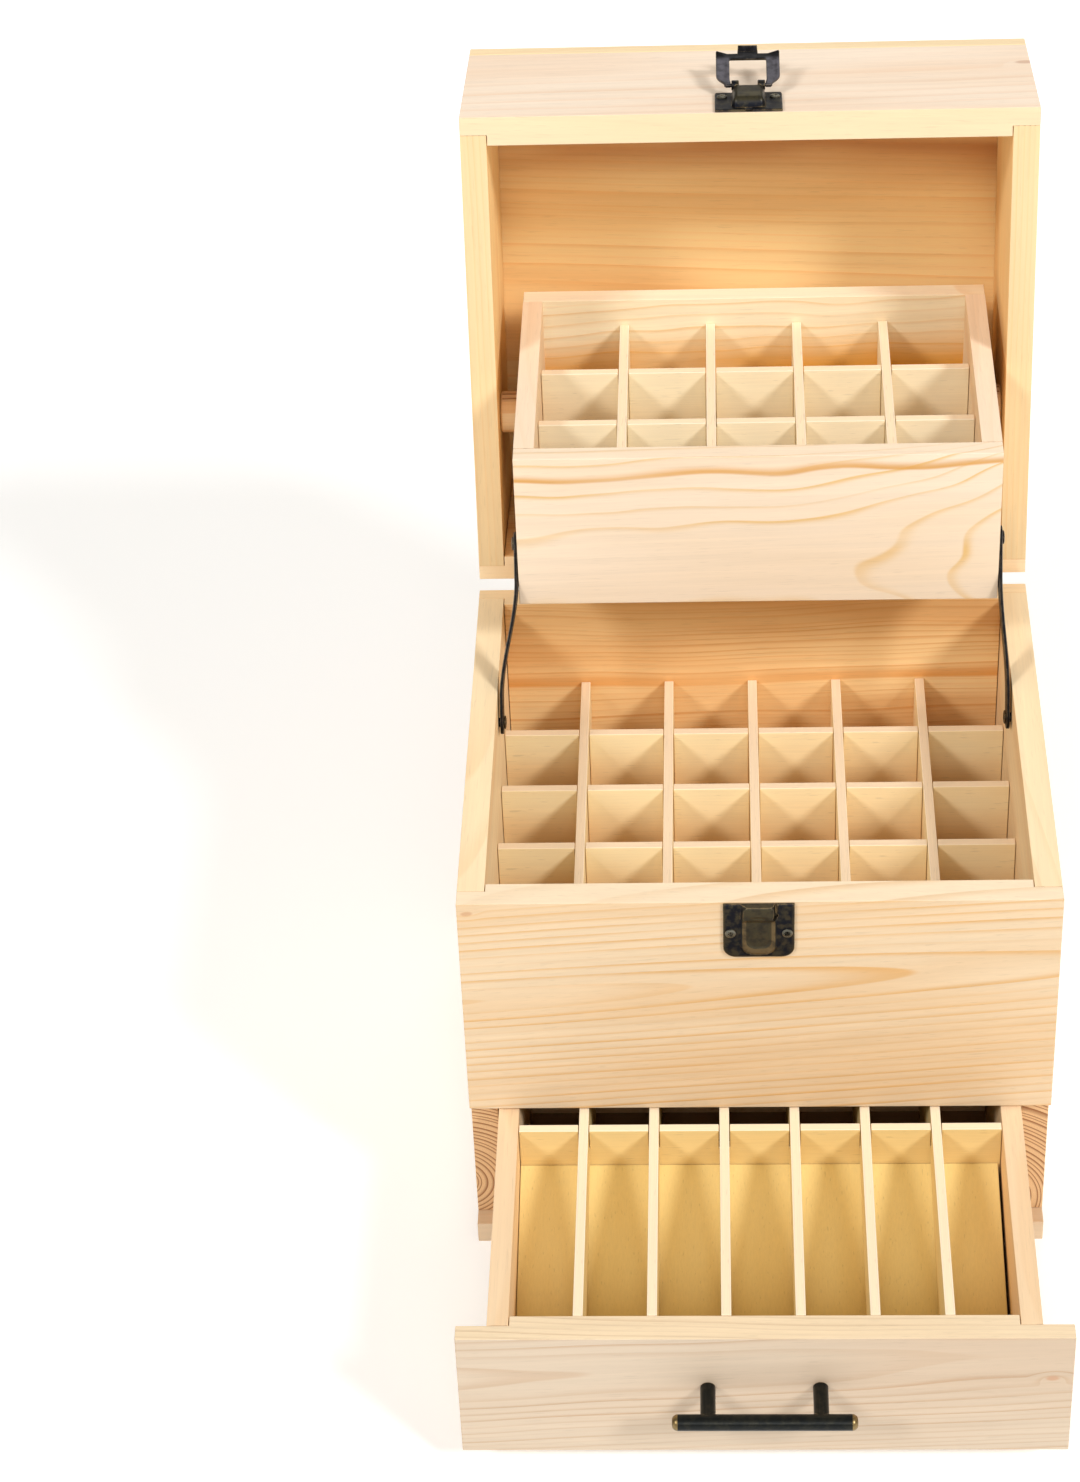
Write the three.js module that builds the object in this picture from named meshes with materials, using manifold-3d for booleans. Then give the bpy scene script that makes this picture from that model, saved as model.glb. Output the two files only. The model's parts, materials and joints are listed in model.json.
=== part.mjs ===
// A wooden storage box for small bottles: a base with a grid of cells, a drawer below it,
// a lid on two butt hinges, and a tray that rides up level with the lid on a parallel linkage.
// The box stands open, as in use: lid upright, tray raised, drawer pulled out.
// Frame: +X right, +Y back, +Z up, with the origin at the middle of the underside.

import * as THREE from 'three';
import { mergeVertices } from 'three/addons/utils/BufferGeometryUtils.js';
import Module from 'manifold-3d';

const wasm = await Module();
wasm.setup();

// Driving dimensions, in millimetres.

// Outside of the box, and its boards.
const boxWidth = 240;
const boxDepth = 213.5;
const wallThickness = 11;
const frontThickness = 12.5;
const frontLip = 8;
const backLip = 6.5;
const seam = 0.3;
const overrun = 2;

// Base: the front panel, the drawer's bay under it, and the board that closes it below.
const frontPanelHeight = 111.5;
const bayHeight = 67.5;
const bottomThickness = 10.5;
const floorThickness = 4;
const floorRise = 1;

// Divider grids, all of thin plywood, halved over each other.
const dividerThickness = 4;
const slotFit = 0.3;
const baseDividerDrop = 43;
const baseColumns = 6;
const baseRows = 5;

// Lid and its hinges.
const lidHeight = 89;
const lidPanelThickness = 8;
const rimGap = 0.4;
const knuckleStandoff = 0.6;
const hingeInset = 45;
const leafWidth = 30;
const leafHeight = 20;
const leafThickness = 1;
const knuckleRadius = 2.5;
const hingePinRadius = 1.1;
const hingeRunFit = 0.3;
const openAngle = THREE.MathUtils.degToRad(99);

// Tray: the room left round it in the closed lid, and where the linkage holds it.
const traySideGap = 8;
const trayFrontGap = 39.1;
const trayBackGap = 17.4;
const trayHeight = 73.5;
const trayWall = 8.5;
const trayFloorThickness = 4;
const trayDividerDrop = 12.5;
const trayColumns = 5;
const trayRows = 3;
const trayOffset = 2;
const trayPivotDrop = 35.5;
const lidPivotForward = 73.5;
const lidPivotDrop = 57.7;
const armPinBack = 11;
const armPinDrop = 49.7;

// Linkage hardware.
const armWidth = 10;
const armThickness = 1.5;
const armStandoff = 0.8;
const pinRadius = 1.8;
const pinFit = 0.4;
const pinReach = 6;
const screwHeadRadius = 4;
const screwHeadHeight = 1.3;
const spacerRadius = 9;

// Drawer.
const drawerHoldIn = 70.5;
const drawerBackFit = 4.5;
const drawerBottomFit = 2;
const drawerLip = 7.5;
const drawerWall = 8.5;
const drawerSideFit = 1.1;
const drawerTopFit = 1.5;
const drawerRunFit = 0.3;
const drawerFloorThickness = 4;
const drawerFloorRise = 1.5;
const drawerColumns = 7;
const crossSetback = 115.3;
const slopeThickness = 3;
const slopeHighDrop = 19;
const slopeLowDrop = 43;
const slopeRightFit = 1.3;

// Handle of the drawer.
const handleLength = 72;
const handleRadius = 3.1;
const handleStandoff = 18;
const handleDrop = 27.3;
const handlePostSpacing = 44;
const handlePostRadius = 2.9;
const handleCollarRadius = 4;
const handleCollarHeight = 1.6;
const handleChamfer = 0.6;

// Catch plate on the base.
const sheet = 1;
const catchWidth = 28.3;
const catchHeight = 27.5;
const catchCorner = 5;
const tongueWidth = 14.6;
const tongueMargin = 1.5;
const tongueRise = 1.1;
const humpHeight = 7.8;
const humpRise = 2.7;

// Latch on the lid: a foot plate with a sprung barrel, and the frame that hooks the catch.
const latchWidth = 28;
const latchHeight = 22;
const latchBoxWidth = 14;
const latchBoxStart = 3;
const latchPivotHeight = 19;
const latchPivotRise = 5;
const latchBarrelRadius = 2.1;
const latchPegRadius = 0.8;
const latchPegReach = 3;
const latchFit = 0.3;
const bailOpeningFit = 0.7;
const bailEar = 2.7;
const bailNeckLength = 7;
const bailLength = 25;
const bailBar = 4.6;
const bailLeg = 5.65;
const bailTabWidth = 8;
const bailTabLength = 3.4;
const bailHook = 1.9;
const bailRise = THREE.MathUtils.degToRad(12);

// Fineness of round work.
const roundSides = 28;
const cornerSteps = 5;

// Sizes and places worked out from the above.
const baseHeight = frontPanelHeight + bayHeight + bottomThickness;
const halfWidth = boxWidth / 2;
const front = -boxDepth / 2;
const back = boxDepth / 2;
const rim = baseHeight;
const innerHalf = halfWidth - wallThickness;
const innerFront = front + frontThickness;
const innerBack = back - wallThickness;
const bayTop = bottomThickness + bayHeight;
const hingeSetback = knuckleRadius + knuckleStandoff;
const hingeY = back + hingeSetback;
const hingeCentres = [hingeInset - halfWidth, halfWidth - hingeInset];
const lidFront = front - hingeY;
const lidBack = back - hingeY;
const lidWallTop = lidHeight - lidPanelThickness;
const lidPivotHeight = lidWallTop - lidPivotDrop;
const trayWidth = 2 * (innerHalf - traySideGap);
const trayDepth = innerBack - innerFront - trayFrontGap - trayBackGap;
const trayPivotBack = -lidFront - frontThickness - trayFrontGap - lidPivotForward;
const drawerLength = boxDepth - wallThickness - drawerBackFit;
const drawerTravel = drawerLength - drawerHoldIn;
const tongueHeight = catchHeight - tongueMargin;

// Shared shaping tools.

// A closed geometry as a solid for joining and cutting.
function toSolid(geometry) {
  const bare = geometry.clone();
  bare.deleteAttribute('normal');
  bare.deleteAttribute('uv');
  const merged = mergeVertices(bare);
  return new wasm.Manifold(new wasm.Mesh({
    numProp: 3,
    vertProperties: new Float32Array(merged.attributes.position.array),
    triVerts: new Uint32Array(merged.index.array),
  }));
}

// A solid back as a geometry.
function toGeometry(solid) {
  const mesh = solid.getMesh();
  const geometry = new THREE.BufferGeometry();
  geometry.setAttribute('position', new THREE.BufferAttribute(new Float32Array(mesh.vertProperties), 3));
  geometry.setIndex(new THREE.BufferAttribute(new Uint32Array(mesh.triVerts), 1));
  const faceted = geometry.toNonIndexed();
  faceted.computeVertexNormals();
  return faceted;
}

function joined(first, ...others) {
  return toGeometry(others.reduce((solid, other) => solid.add(toSolid(other)), toSolid(first)));
}

function cutBy(first, ...others) {
  return toGeometry(others.reduce((solid, other) => solid.subtract(toSolid(other)), toSolid(first)));
}

function shared(first, second) {
  return toGeometry(toSolid(first).intersect(toSolid(second)));
}

// A prism on an outline of [x, y] points, standing up along Z from zero.
function uprightPrism(points, height) {
  const shape = new THREE.Shape(points.map(([a, b]) => new THREE.Vector2(a, b)));
  return new THREE.ExtrudeGeometry(shape, { depth: height, bevelEnabled: false });
}

// A prism on an outline of [y, z] points, centred on X.
function sidePrism(points, width) {
  const turn = new THREE.Matrix4().makeBasis(
    new THREE.Vector3(0, 1, 0),
    new THREE.Vector3(0, 0, 1),
    new THREE.Vector3(1, 0, 0),
  );
  return uprightPrism(points, width).applyMatrix4(turn).translate(-width / 2, 0, 0);
}

// A prism on an outline of [x, z] points, running back along Y from zero.
function facePrism(points, depth) {
  return uprightPrism(points, depth).rotateX(Math.PI / 2).translate(0, depth, 0);
}

// A block between two corners.
function block([x0, x1], [y0, y1], [z0, z1]) {
  return new THREE.BoxGeometry(x1 - x0, y1 - y0, z1 - z0)
    .translate((x0 + x1) / 2, (y0 + y1) / 2, (z0 + z1) / 2);
}

// A round bar along X between two places, at height and depth zero.
function barAlongX(radius, x0, x1) {
  return new THREE.CylinderGeometry(radius, radius, Math.abs(x1 - x0), roundSides)
    .rotateZ(Math.PI / 2)
    .translate((x0 + x1) / 2, 0, 0);
}

// Points of an arc, for outlines: centre, radius, and the angles it runs between.
function arc(cx, cy, radius, from, to, steps = cornerSteps) {
  return Array.from({ length: steps + 1 }, (_, i) => {
    const angle = from + ((to - from) * i) / steps;
    return [cx + radius * Math.cos(angle), cy + radius * Math.sin(angle)];
  });
}

const quarter = Math.PI / 2;

// Adds one named piece to a group.
function addPiece(group, name, material, geometry, x = 0, y = 0, z = 0) {
  const mesh = new THREE.Mesh(geometry, material);
  mesh.name = name;
  mesh.position.set(x, y, z);
  group.add(mesh);
  return mesh;
}

// A front or back board: full width, its ends rebated so that a lip covers the side walls' ends.
// It stands on zero, with its outer face at y = 0, and faces back when facing is -1.
function rebatedBoard(width, thickness, lip, cover, height, facing = 1) {
  const half = width / 2;
  const outline = [
    [-half, 0],
    [half, 0],
    [half, lip],
    [half - cover, lip],
    [half - cover, thickness],
    [cover - half, thickness],
    [cover - half, lip],
    [-half, lip],
  ];
  return uprightPrism(outline.map(([a, b]) => [a, b * facing]), height);
}

// The centres of dividers that part a span into equal cells.
function dividerCentres(low, high, cells) {
  const pitch = (high - low + dividerThickness) / cells;
  return Array.from({ length: cells - 1 }, (_, i) => low - dividerThickness / 2 + pitch * (i + 1));
}

// The outline of a divider, with a slot at each crossing, open at the top or at the bottom.
function slottedOutline(start, end, low, high, crossings, slotTop) {
  const reach = dividerThickness / 2 + slotFit;
  const half = (low + high) / 2;
  const [edge, depth, plain] = slotTop
    ? [high, half - slotFit / 2, low]
    : [low, half + slotFit / 2, high];
  const slots = crossings.flatMap((c) => [
    [c - reach, edge],
    [c - reach, depth],
    [c + reach, depth],
    [c + reach, edge],
  ]);
  return [[start, edge], ...slots, [end, edge], [end, plain], [start, plain]];
}

// Fills a tray or compartment with dividers: the long ones run from front to back and lie
// over the cross ones, which run from side to side.
function addDividers(group, name, material, xSpan, ySpan, zSpan, columns, rows) {
  const [x0, x1] = xSpan;
  const [y0, y1] = ySpan;
  const [z0, z1] = zSpan;
  const xs = dividerCentres(x0, x1, columns);
  const ys = dividerCentres(y0, y1, rows);
  xs.forEach((x, i) => {
    const outline = slottedOutline(y0 + seam, y1 - seam, z0, z1, ys, false);
    addPiece(group, `${name}_divider_long_${i + 1}`, material, sidePrism(outline, dividerThickness), x);
  });
  ys.forEach((y, i) => {
    const outline = slottedOutline(x0 + seam, x1 - seam, z0, z1, xs, true);
    const board = facePrism(outline, dividerThickness);
    addPiece(group, `${name}_divider_cross_${i + 1}`, material, board, 0, y - dividerThickness / 2);
  });
}

// Finishes: planed pine for the boards, plywood for floors and dividers, darkened bronze metal.
function finish(color, roughness, metalness = 0) {
  return new THREE.MeshStandardMaterial({ color, roughness, metalness });
}

const pine = finish(0xeccf9f, 0.6);
const pineInside = finish(0xe3b878, 0.62);
const plywood = finish(0xe9cd94, 0.66);
const bronze = finish(0x38332b, 0.42, 0.85);
const beech = finish(0xdfb982, 0.6);

const storageBox = new THREE.Group();

// Base: front panel and back panel lap over the side walls, and all stand on the bottom board.

const base = new THREE.Group();
storageBox.add(base);

// The arms' pivots on the base lie from the lid's hinge as their pins lie from the tray's pivots.
const armBaseY = hingeY + armPinBack - trayPivotBack;
const armBaseZ = rim + trayPivotDrop - armPinDrop;

addPiece(
  base,
  'base_front_panel',
  pine,
  rebatedBoard(boxWidth, frontThickness, frontLip, wallThickness + seam, frontPanelHeight),
  0,
  front,
  bayTop,
);
addPiece(
  base,
  'base_back_panel',
  pineInside,
  rebatedBoard(
    boxWidth,
    wallThickness,
    backLip,
    wallThickness + seam,
    rim - bottomThickness - seam,
    -1,
  ),
  0,
  back,
  bottomThickness + seam,
);

// Each side wall is drilled for the screw that the arm turns on.
for (const [side, word] of [[-1, 'left'], [1, 'right']]) {
  const wall = block(
    [Math.min(side * innerHalf, side * halfWidth), Math.max(side * innerHalf, side * halfWidth)],
    [front + frontLip + seam, back - backLip - seam],
    [bottomThickness + seam, rim],
  );
  const bore = barAlongX(
    pinRadius + pinFit,
    side * (innerHalf - overrun),
    side * (innerHalf + pinReach + pinFit),
  ).translate(0, armBaseY, armBaseZ);
  addPiece(base, `base_side_${word}`, pine, cutBy(wall, bore));
}

addPiece(
  base,
  'base_bottom_board',
  pine,
  block([-halfWidth, halfWidth], [front, back], [0, bottomThickness]),
);

const floorTop = bayTop + floorRise + floorThickness;
addPiece(
  base,
  'compartment_floor',
  plywood,
  block(
    [seam - innerHalf, innerHalf - seam],
    [innerFront + seam, innerBack - seam],
    [bayTop + floorRise, floorTop],
  ),
);
addDividers(
  base,
  'compartment',
  plywood,
  [-innerHalf, innerHalf],
  [innerFront, innerBack],
  [floorTop + seam, rim - baseDividerDrop],
  baseColumns,
  baseRows,
);

// Hinges: three knuckles on one pin. The base leaf has the outer knuckles and the pin.

const knuckleLength = leafWidth / 3;
const leafStart = knuckleRadius + hingeRunFit;

// A leaf against a face hingeSetback in front of the pin, running away from it along Z.
function hingeLeaf(knuckles) {
  const plate = block(
    [-leafWidth / 2, leafWidth / 2],
    [-hingeSetback + seam, -hingeSetback + seam + leafThickness],
    [leafStart, leafStart + leafHeight],
  );
  const rolls = knuckles.flatMap(([x0, x1]) => [
    barAlongX(knuckleRadius, x0, x1),
    block(
      [x0, x1],
      [-hingeSetback + seam, 0],
      [knuckleRadius - leafThickness, leafStart + leafThickness],
    ),
  ]);
  return joined(plate, ...rolls);
}

function baseLeaf() {
  const inner = knuckleLength / 2;
  const outer = leafWidth / 2;
  const leaf = hingeLeaf([[-outer, -inner], [inner, outer]]).rotateZ(Math.PI).rotateX(Math.PI);
  return joined(leaf, barAlongX(hingePinRadius, -inner - overrun, inner + overrun));
}

function lidLeaf() {
  const inner = knuckleLength / 2 - hingeRunFit;
  const bore = barAlongX(hingePinRadius + hingeRunFit, -leafWidth, leafWidth);
  return cutBy(hingeLeaf([[-inner, inner]]), bore);
}

hingeCentres.forEach((x, i) => {
  addPiece(base, `hinge_base_leaf_${i === 0 ? 'left' : 'right'}`, bronze, baseLeaf(), x, hingeY, rim);
});

// Catch plate: its tongue stands out most next to the rim, where the frame's tab hooks under it.

function catchPlate() {
  const half = catchWidth / 2;
  const drop = -catchHeight;
  const plateOutline = [
    [-half, 0],
    ...arc(catchCorner - half, drop + catchCorner, catchCorner, 2 * quarter, 3 * quarter),
    ...arc(half - catchCorner, drop + catchCorner, catchCorner, 3 * quarter, 4 * quarter),
    [half, 0],
  ];
  const tongueHalf = tongueWidth / 2;
  const tongueOutline = [
    [-tongueHalf, 0],
    ...arc(catchCorner - tongueHalf, catchCorner - tongueHeight, catchCorner, 2 * quarter, 3 * quarter),
    ...arc(tongueHalf - catchCorner, catchCorner - tongueHeight, catchCorner, 3 * quarter, 4 * quarter),
    [tongueHalf, 0],
  ];
  const rise = sheet + tongueRise;
  const peak = sheet + humpRise;
  const tongueProfile = [
    [0, 0],
    [-rise, 0],
    [-peak, -sheet],
    [-peak, sheet - humpHeight],
    [-rise, -humpHeight],
    [-rise, sheet - tongueHeight],
    [-sheet, -tongueHeight],
    [0, -tongueHeight],
  ];
  const tongue = shared(
    sidePrism(tongueProfile, tongueWidth),
    facePrism(tongueOutline, peak + overrun).translate(0, -peak - overrun / 2, 0),
  );
  return joined(facePrism(plateOutline, sheet).translate(0, -sheet, 0), tongue);
}

addPiece(base, 'catch_plate', bronze, catchPlate(), 0, front - seam, rim - seam);

// Linkage: each arm turns on a screw in the base's side wall and carries a screw in the tray's side.

const armLength = Math.hypot(lidPivotForward, lidPivotHeight);
const armLean = Math.atan2(lidPivotForward, lidPivotHeight);
const armBendStartShare = 0.35;
const armBendEndShare = 0.61;

// The arm's outer face at the base, and at the tray, counted from the middle of the box.
function armFaces(side) {
  const low = innerHalf - armStandoff;
  const high = trayWidth / 2 + side * trayOffset + seam + armThickness;
  return [low, high];
}

// An arm standing along +Z from its lower pivot, stepped inwards from the wall to the tray.
function armStrap(side) {
  const [low, high] = armFaces(side);
  const end = armWidth / 2;
  const outline = [
    ...arc(0, 0, end, 2 * quarter, 4 * quarter, 2 * cornerSteps),
    ...arc(0, armLength, end, 0, 2 * quarter, 2 * cornerSteps),
  ];
  const bendStart = armLength * armBendStartShare;
  const bendEnd = armLength * armBendEndShare;
  const centreLine = [
    [low, -end],
    [low, bendStart],
    [high, bendEnd],
    [high, armLength + end],
  ];
  const outerEdge = centreLine.map(([x, z]) => [side * x, z]);
  const innerEdge = centreLine.map(([x, z]) => [side * (x - armThickness), z]).reverse();
  const bent = facePrism([...outerEdge, ...innerEdge], armWidth).translate(0, -end, 0);
  const flatBlank = sidePrism(outline, boxWidth);
  const hole = barAlongX(pinRadius + pinFit, -halfWidth, halfWidth);
  const topHole = hole.clone().translate(0, 0, armLength);
  return cutBy(shared(bent, flatBlank), hole, topHole);
}

// A screw along X: a head inside the arm, and a shank that runs out through it into the wood.
function armScrew(side, armOuterFace, woodFace) {
  const intoWood = Math.sign(woodFace - armOuterFace);
  const armNearHead = intoWood > 0 ? armOuterFace - armThickness : armOuterFace;
  const headEnd = armNearHead - intoWood * (seam + screwHeadHeight);
  const shank = barAlongX(pinRadius, side * armNearHead, side * (woodFace + intoWood * pinReach));
  const head = barAlongX(screwHeadRadius, side * headEnd, side * (armNearHead - intoWood * seam));
  const neck = barAlongX(
    pinRadius,
    side * (armNearHead - intoWood * (seam + screwHeadHeight / 2)),
    side * (armNearHead + intoWood * armThickness),
  );
  return joined(shank, neck, head);
}

for (const [side, word] of [[-1, 'left'], [1, 'right']]) {
  const arm = new THREE.Group();
  arm.position.set(0, armBaseY, armBaseZ);
  arm.rotation.x = armLean - openAngle;
  base.add(arm);
  addPiece(arm, `arm_${word}`, bronze, armStrap(side));
  const [low] = armFaces(side);
  addPiece(
    base,
    `arm_base_screw_${word}`,
    bronze,
    armScrew(side, low, innerHalf),
    0,
    armBaseY,
    armBaseZ,
  );
}

// Lid: built closed, with its rim at the hinge's height, then swung open about the hinge.

const lid = new THREE.Group();
lid.position.set(0, hingeY, rim);
lid.rotation.x = -openAngle;
storageBox.add(lid);

const lidWallHeight = lidWallTop - rimGap - seam;

addPiece(
  lid,
  'lid_front',
  pine,
  rebatedBoard(boxWidth, frontThickness, frontLip, wallThickness + seam, lidWallHeight),
  0,
  lidFront,
  rimGap,
);
addPiece(
  lid,
  'lid_back',
  pineInside,
  rebatedBoard(boxWidth, wallThickness, backLip, wallThickness + seam, lidWallHeight, -1),
  0,
  lidBack,
  rimGap,
);
for (const [side, word] of [[-1, 'left'], [1, 'right']]) {
  const wall = block(
    [Math.min(side * innerHalf, side * halfWidth), Math.max(side * innerHalf, side * halfWidth)],
    [lidFront + frontLip + seam, lidBack - backLip - seam],
    [rimGap, rimGap + lidWallHeight],
  );
  const bore = barAlongX(
    pinRadius + pinFit,
    side * (innerHalf - overrun),
    side * (innerHalf + pinReach + pinFit),
  ).translate(0, -lidPivotForward, lidPivotHeight);
  addPiece(lid, `lid_side_${word}`, pine, cutBy(wall, bore));
}
addPiece(
  lid,
  'lid_top_panel',
  pine,
  block([-halfWidth, halfWidth], [lidFront, lidBack], [lidWallTop, lidHeight]),
);
hingeCentres.forEach((x, i) => {
  addPiece(lid, `hinge_lid_leaf_${i === 0 ? 'left' : 'right'}`, bronze, lidLeaf(), x);
});

// Latch on the lid's front: foot plate, sprung box and barrel in one stamping, and the frame.

function latchPlate() {
  const half = latchWidth / 2;
  const outline = [
    [-half, rimGap],
    [half, rimGap],
    ...arc(half - latchBarrelRadius, latchHeight - latchBarrelRadius, latchBarrelRadius, 0, quarter),
    ...arc(latchBarrelRadius - half, latchHeight - latchBarrelRadius, latchBarrelRadius, quarter, 2 * quarter),
  ];
  const plate = facePrism(outline, sheet).translate(0, -sheet, 0);
  const crown = -latchPivotRise - latchBarrelRadius / 2;
  const boxProfile = [
    [0, latchBoxStart],
    [-sheet, latchBoxStart],
    [-latchPivotRise, latchBoxStart + latchBarrelRadius],
    [crown, latchBoxStart + 2 * latchBarrelRadius],
    [crown, latchPivotHeight - latchBarrelRadius],
    [-latchPivotRise, latchPivotHeight],
    [-sheet, latchPivotHeight],
    [0, latchPivotHeight],
  ];
  const barrel = barAlongX(latchBarrelRadius, -latchBoxWidth / 2, latchBoxWidth / 2)
    .translate(0, -latchPivotRise, latchPivotHeight);
  const bore = barAlongX(latchPegRadius + latchFit, -latchWidth, latchWidth)
    .translate(0, -latchPivotRise, latchPivotHeight);
  return cutBy(joined(plate, sidePrism(boxProfile, latchBoxWidth), barrel), bore);
}

// The frame lies along +Z from its pegs, with the side that meets the catch towards +Y.
function latchFrame() {
  const inner = latchBoxWidth / 2 + latchFit;
  const neck = inner + bailEar;
  const legInner = latchBoxWidth / 2 + bailOpeningFit;
  const outer = legInner + bailLeg;
  const tab = bailTabWidth / 2;
  const tail = -latchBarrelRadius / 2;
  const crook = bailNeckLength / 2;
  const rightHalf = [
    [inner, tail],
    [neck, tail],
    [(neck + outer) / 2, crook / 2],
    [outer, bailNeckLength],
    [outer, bailLength],
    [tab, bailLength],
    [tab, bailLength + bailTabLength],
  ];
  const outerOutline = [...rightHalf, ...rightHalf.map(([x, z]) => [-x, z]).reverse()];
  const opening = [
    [-inner, tail - overrun],
    [inner, tail - overrun],
    [inner, crook / 2],
    [legInner, crook],
    [legInner, bailLength - bailBar],
    [-legInner, bailLength - bailBar],
    [-legInner, crook],
    [-inner, crook / 2],
  ];
  const plate = cutBy(
    facePrism(outerOutline, sheet),
    facePrism(opening, sheet + 2 * overrun).translate(0, -overrun, 0),
  ).translate(0, -sheet / 2, 0);
  const end = bailLength + bailTabLength;
  const hook = block([-tab, tab], [-sheet / 2, sheet / 2 + bailHook], [end - sheet, end]);
  const pegs = [-1, 1].map((side) => barAlongX(
    latchPegRadius,
    side * neck,
    side * (inner - latchPegReach),
  ));
  return joined(plate, hook, ...pegs);
}

addPiece(lid, 'latch_plate', bronze, latchPlate(), 0, lidFront - seam);
const latchBail = new THREE.Group();
latchBail.position.set(0, lidFront - seam - latchPivotRise, latchPivotHeight);
latchBail.rotation.x = bailRise;
lid.add(latchBail);
addPiece(latchBail, 'latch_bail', bronze, latchFrame().rotateZ(Math.PI));

// Tray pivots: a turned spacer on the lid's wall, with a pin into the lid and one into the tray.

for (const [side, word] of [[-1, 'left'], [1, 'right']]) {
  const trayFace = trayWidth / 2 + side * trayOffset;
  const spacer = barAlongX(spacerRadius, side * (trayFace + seam), side * (innerHalf - seam));
  const pin = barAlongX(pinRadius, side * (trayFace - pinReach), side * (innerHalf + pinReach));
  addPiece(
    lid,
    `tray_pivot_${word}`,
    beech,
    joined(spacer, pin),
    0,
    -lidPivotForward,
    lidPivotHeight,
  );
}

// Tray: hangs level from its pivots, with its own frame at its front top edge.

const trayPivot = new THREE.Group();
trayPivot.position.set(0, -lidPivotForward, lidPivotHeight);
trayPivot.rotation.x = openAngle;
lid.add(trayPivot);
const tray = new THREE.Group();
tray.position.set(trayOffset, -trayPivotBack, trayPivotDrop - trayHeight);
trayPivot.add(tray);

const trayHalf = trayWidth / 2;
const trayInner = trayHalf - trayWall;

addPiece(tray, 'tray_front', pine, block([-trayHalf, trayHalf], [0, trayWall], [0, trayHeight]));
addPiece(
  tray,
  'tray_back',
  pineInside,
  block([-trayHalf, trayHalf], [trayDepth - trayWall, trayDepth], [0, trayHeight]),
);
for (const [side, word] of [[-1, 'left'], [1, 'right']]) {
  const wall = block(
    [Math.min(side * trayInner, side * trayHalf), Math.max(side * trayInner, side * trayHalf)],
    [trayWall + seam, trayDepth - trayWall - seam],
    [0, trayHeight],
  );
  const bores = [[trayPivotBack, trayPivotDrop], [armPinBack, armPinDrop]].map(([y, drop]) => barAlongX(
    pinRadius + pinFit,
    side * (trayHalf - pinReach - pinFit),
    side * (trayHalf + overrun),
  ).translate(0, y, trayHeight - drop));
  addPiece(tray, `tray_side_${word}`, pine, cutBy(wall, ...bores));

  const [, armOuterFace] = armFaces(side);
  const screw = armScrew(side, armOuterFace, armOuterFace - armThickness - seam);
  addPiece(
    tray,
    `arm_tray_screw_${word}`,
    bronze,
    screw,
    -trayOffset,
    armPinBack,
    trayHeight - armPinDrop,
  );
}
addPiece(
  tray,
  'tray_floor',
  plywood,
  block(
    [seam - trayInner, trayInner - seam],
    [trayWall + seam, trayDepth - trayWall - seam],
    [0, trayFloorThickness],
  ),
);
addDividers(
  tray,
  'tray',
  plywood,
  [-trayInner, trayInner],
  [trayWall, trayDepth - trayWall],
  [trayFloorThickness + seam, trayHeight - trayDividerDrop],
  trayColumns,
  trayRows,
);

// Drawer: slides in the bay on the bottom board. Its own frame is at its front face.

const drawer = new THREE.Group();
drawer.position.set(0, front - drawerTravel, bottomThickness + drawerRunFit);
storageBox.add(drawer);

const drawerHeight = bayHeight - drawerTopFit - drawerRunFit;
const drawerFrontHeight = bayHeight - drawerTopFit - drawerBottomFit;
const drawerHalf = innerHalf - drawerSideFit;
const drawerInner = drawerHalf - drawerWall;
const drawerBackFace = drawerLength - drawerWall;
const drawerFloorTop = drawerFloorRise + drawerFloorThickness;

addPiece(
  drawer,
  'drawer_front',
  pine,
  rebatedBoard(
    boxWidth,
    frontThickness,
    drawerLip,
    halfWidth - drawerInner + seam,
    drawerFrontHeight,
  ),
  0,
  0,
  drawerHeight - drawerFrontHeight,
);
addPiece(
  drawer,
  'drawer_back',
  pineInside,
  block([seam - drawerInner, drawerInner - seam], [drawerBackFace, drawerLength], [0, drawerHeight]),
);
for (const [side, word] of [[-1, 'left'], [1, 'right']]) {
  addPiece(drawer, `drawer_side_${word}`, pine, block(
    [Math.min(side * drawerInner, side * drawerHalf), Math.max(side * drawerInner, side * drawerHalf)],
    [drawerLip + seam, drawerLength],
    [0, drawerHeight],
  ));
}
addPiece(
  drawer,
  'drawer_floor',
  plywood,
  block(
    [seam - drawerInner, drawerInner - seam],
    [frontThickness + seam, drawerBackFace - seam],
    [drawerFloorRise, drawerFloorTop],
  ),
);

// The sloping floor rises from the front board to the cross divider.
const slopeFront = frontThickness + seam;
const slopeBack = crossSetback - seam;
const slopeLow = drawerHeight - slopeLowDrop;
const slopeHigh = drawerHeight - slopeHighDrop;
const slopeWidth = 2 * drawerInner - seam - slopeRightFit;
addPiece(
  drawer,
  'drawer_sloping_floor',
  plywood,
  sidePrism(
    [
      [slopeFront, slopeLow - slopeThickness],
      [slopeBack, slopeHigh - slopeThickness],
      [slopeBack, slopeHigh],
      [slopeFront, slopeLow],
    ],
    slopeWidth,
  ),
  (seam - slopeRightFit) / 2,
);

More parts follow.
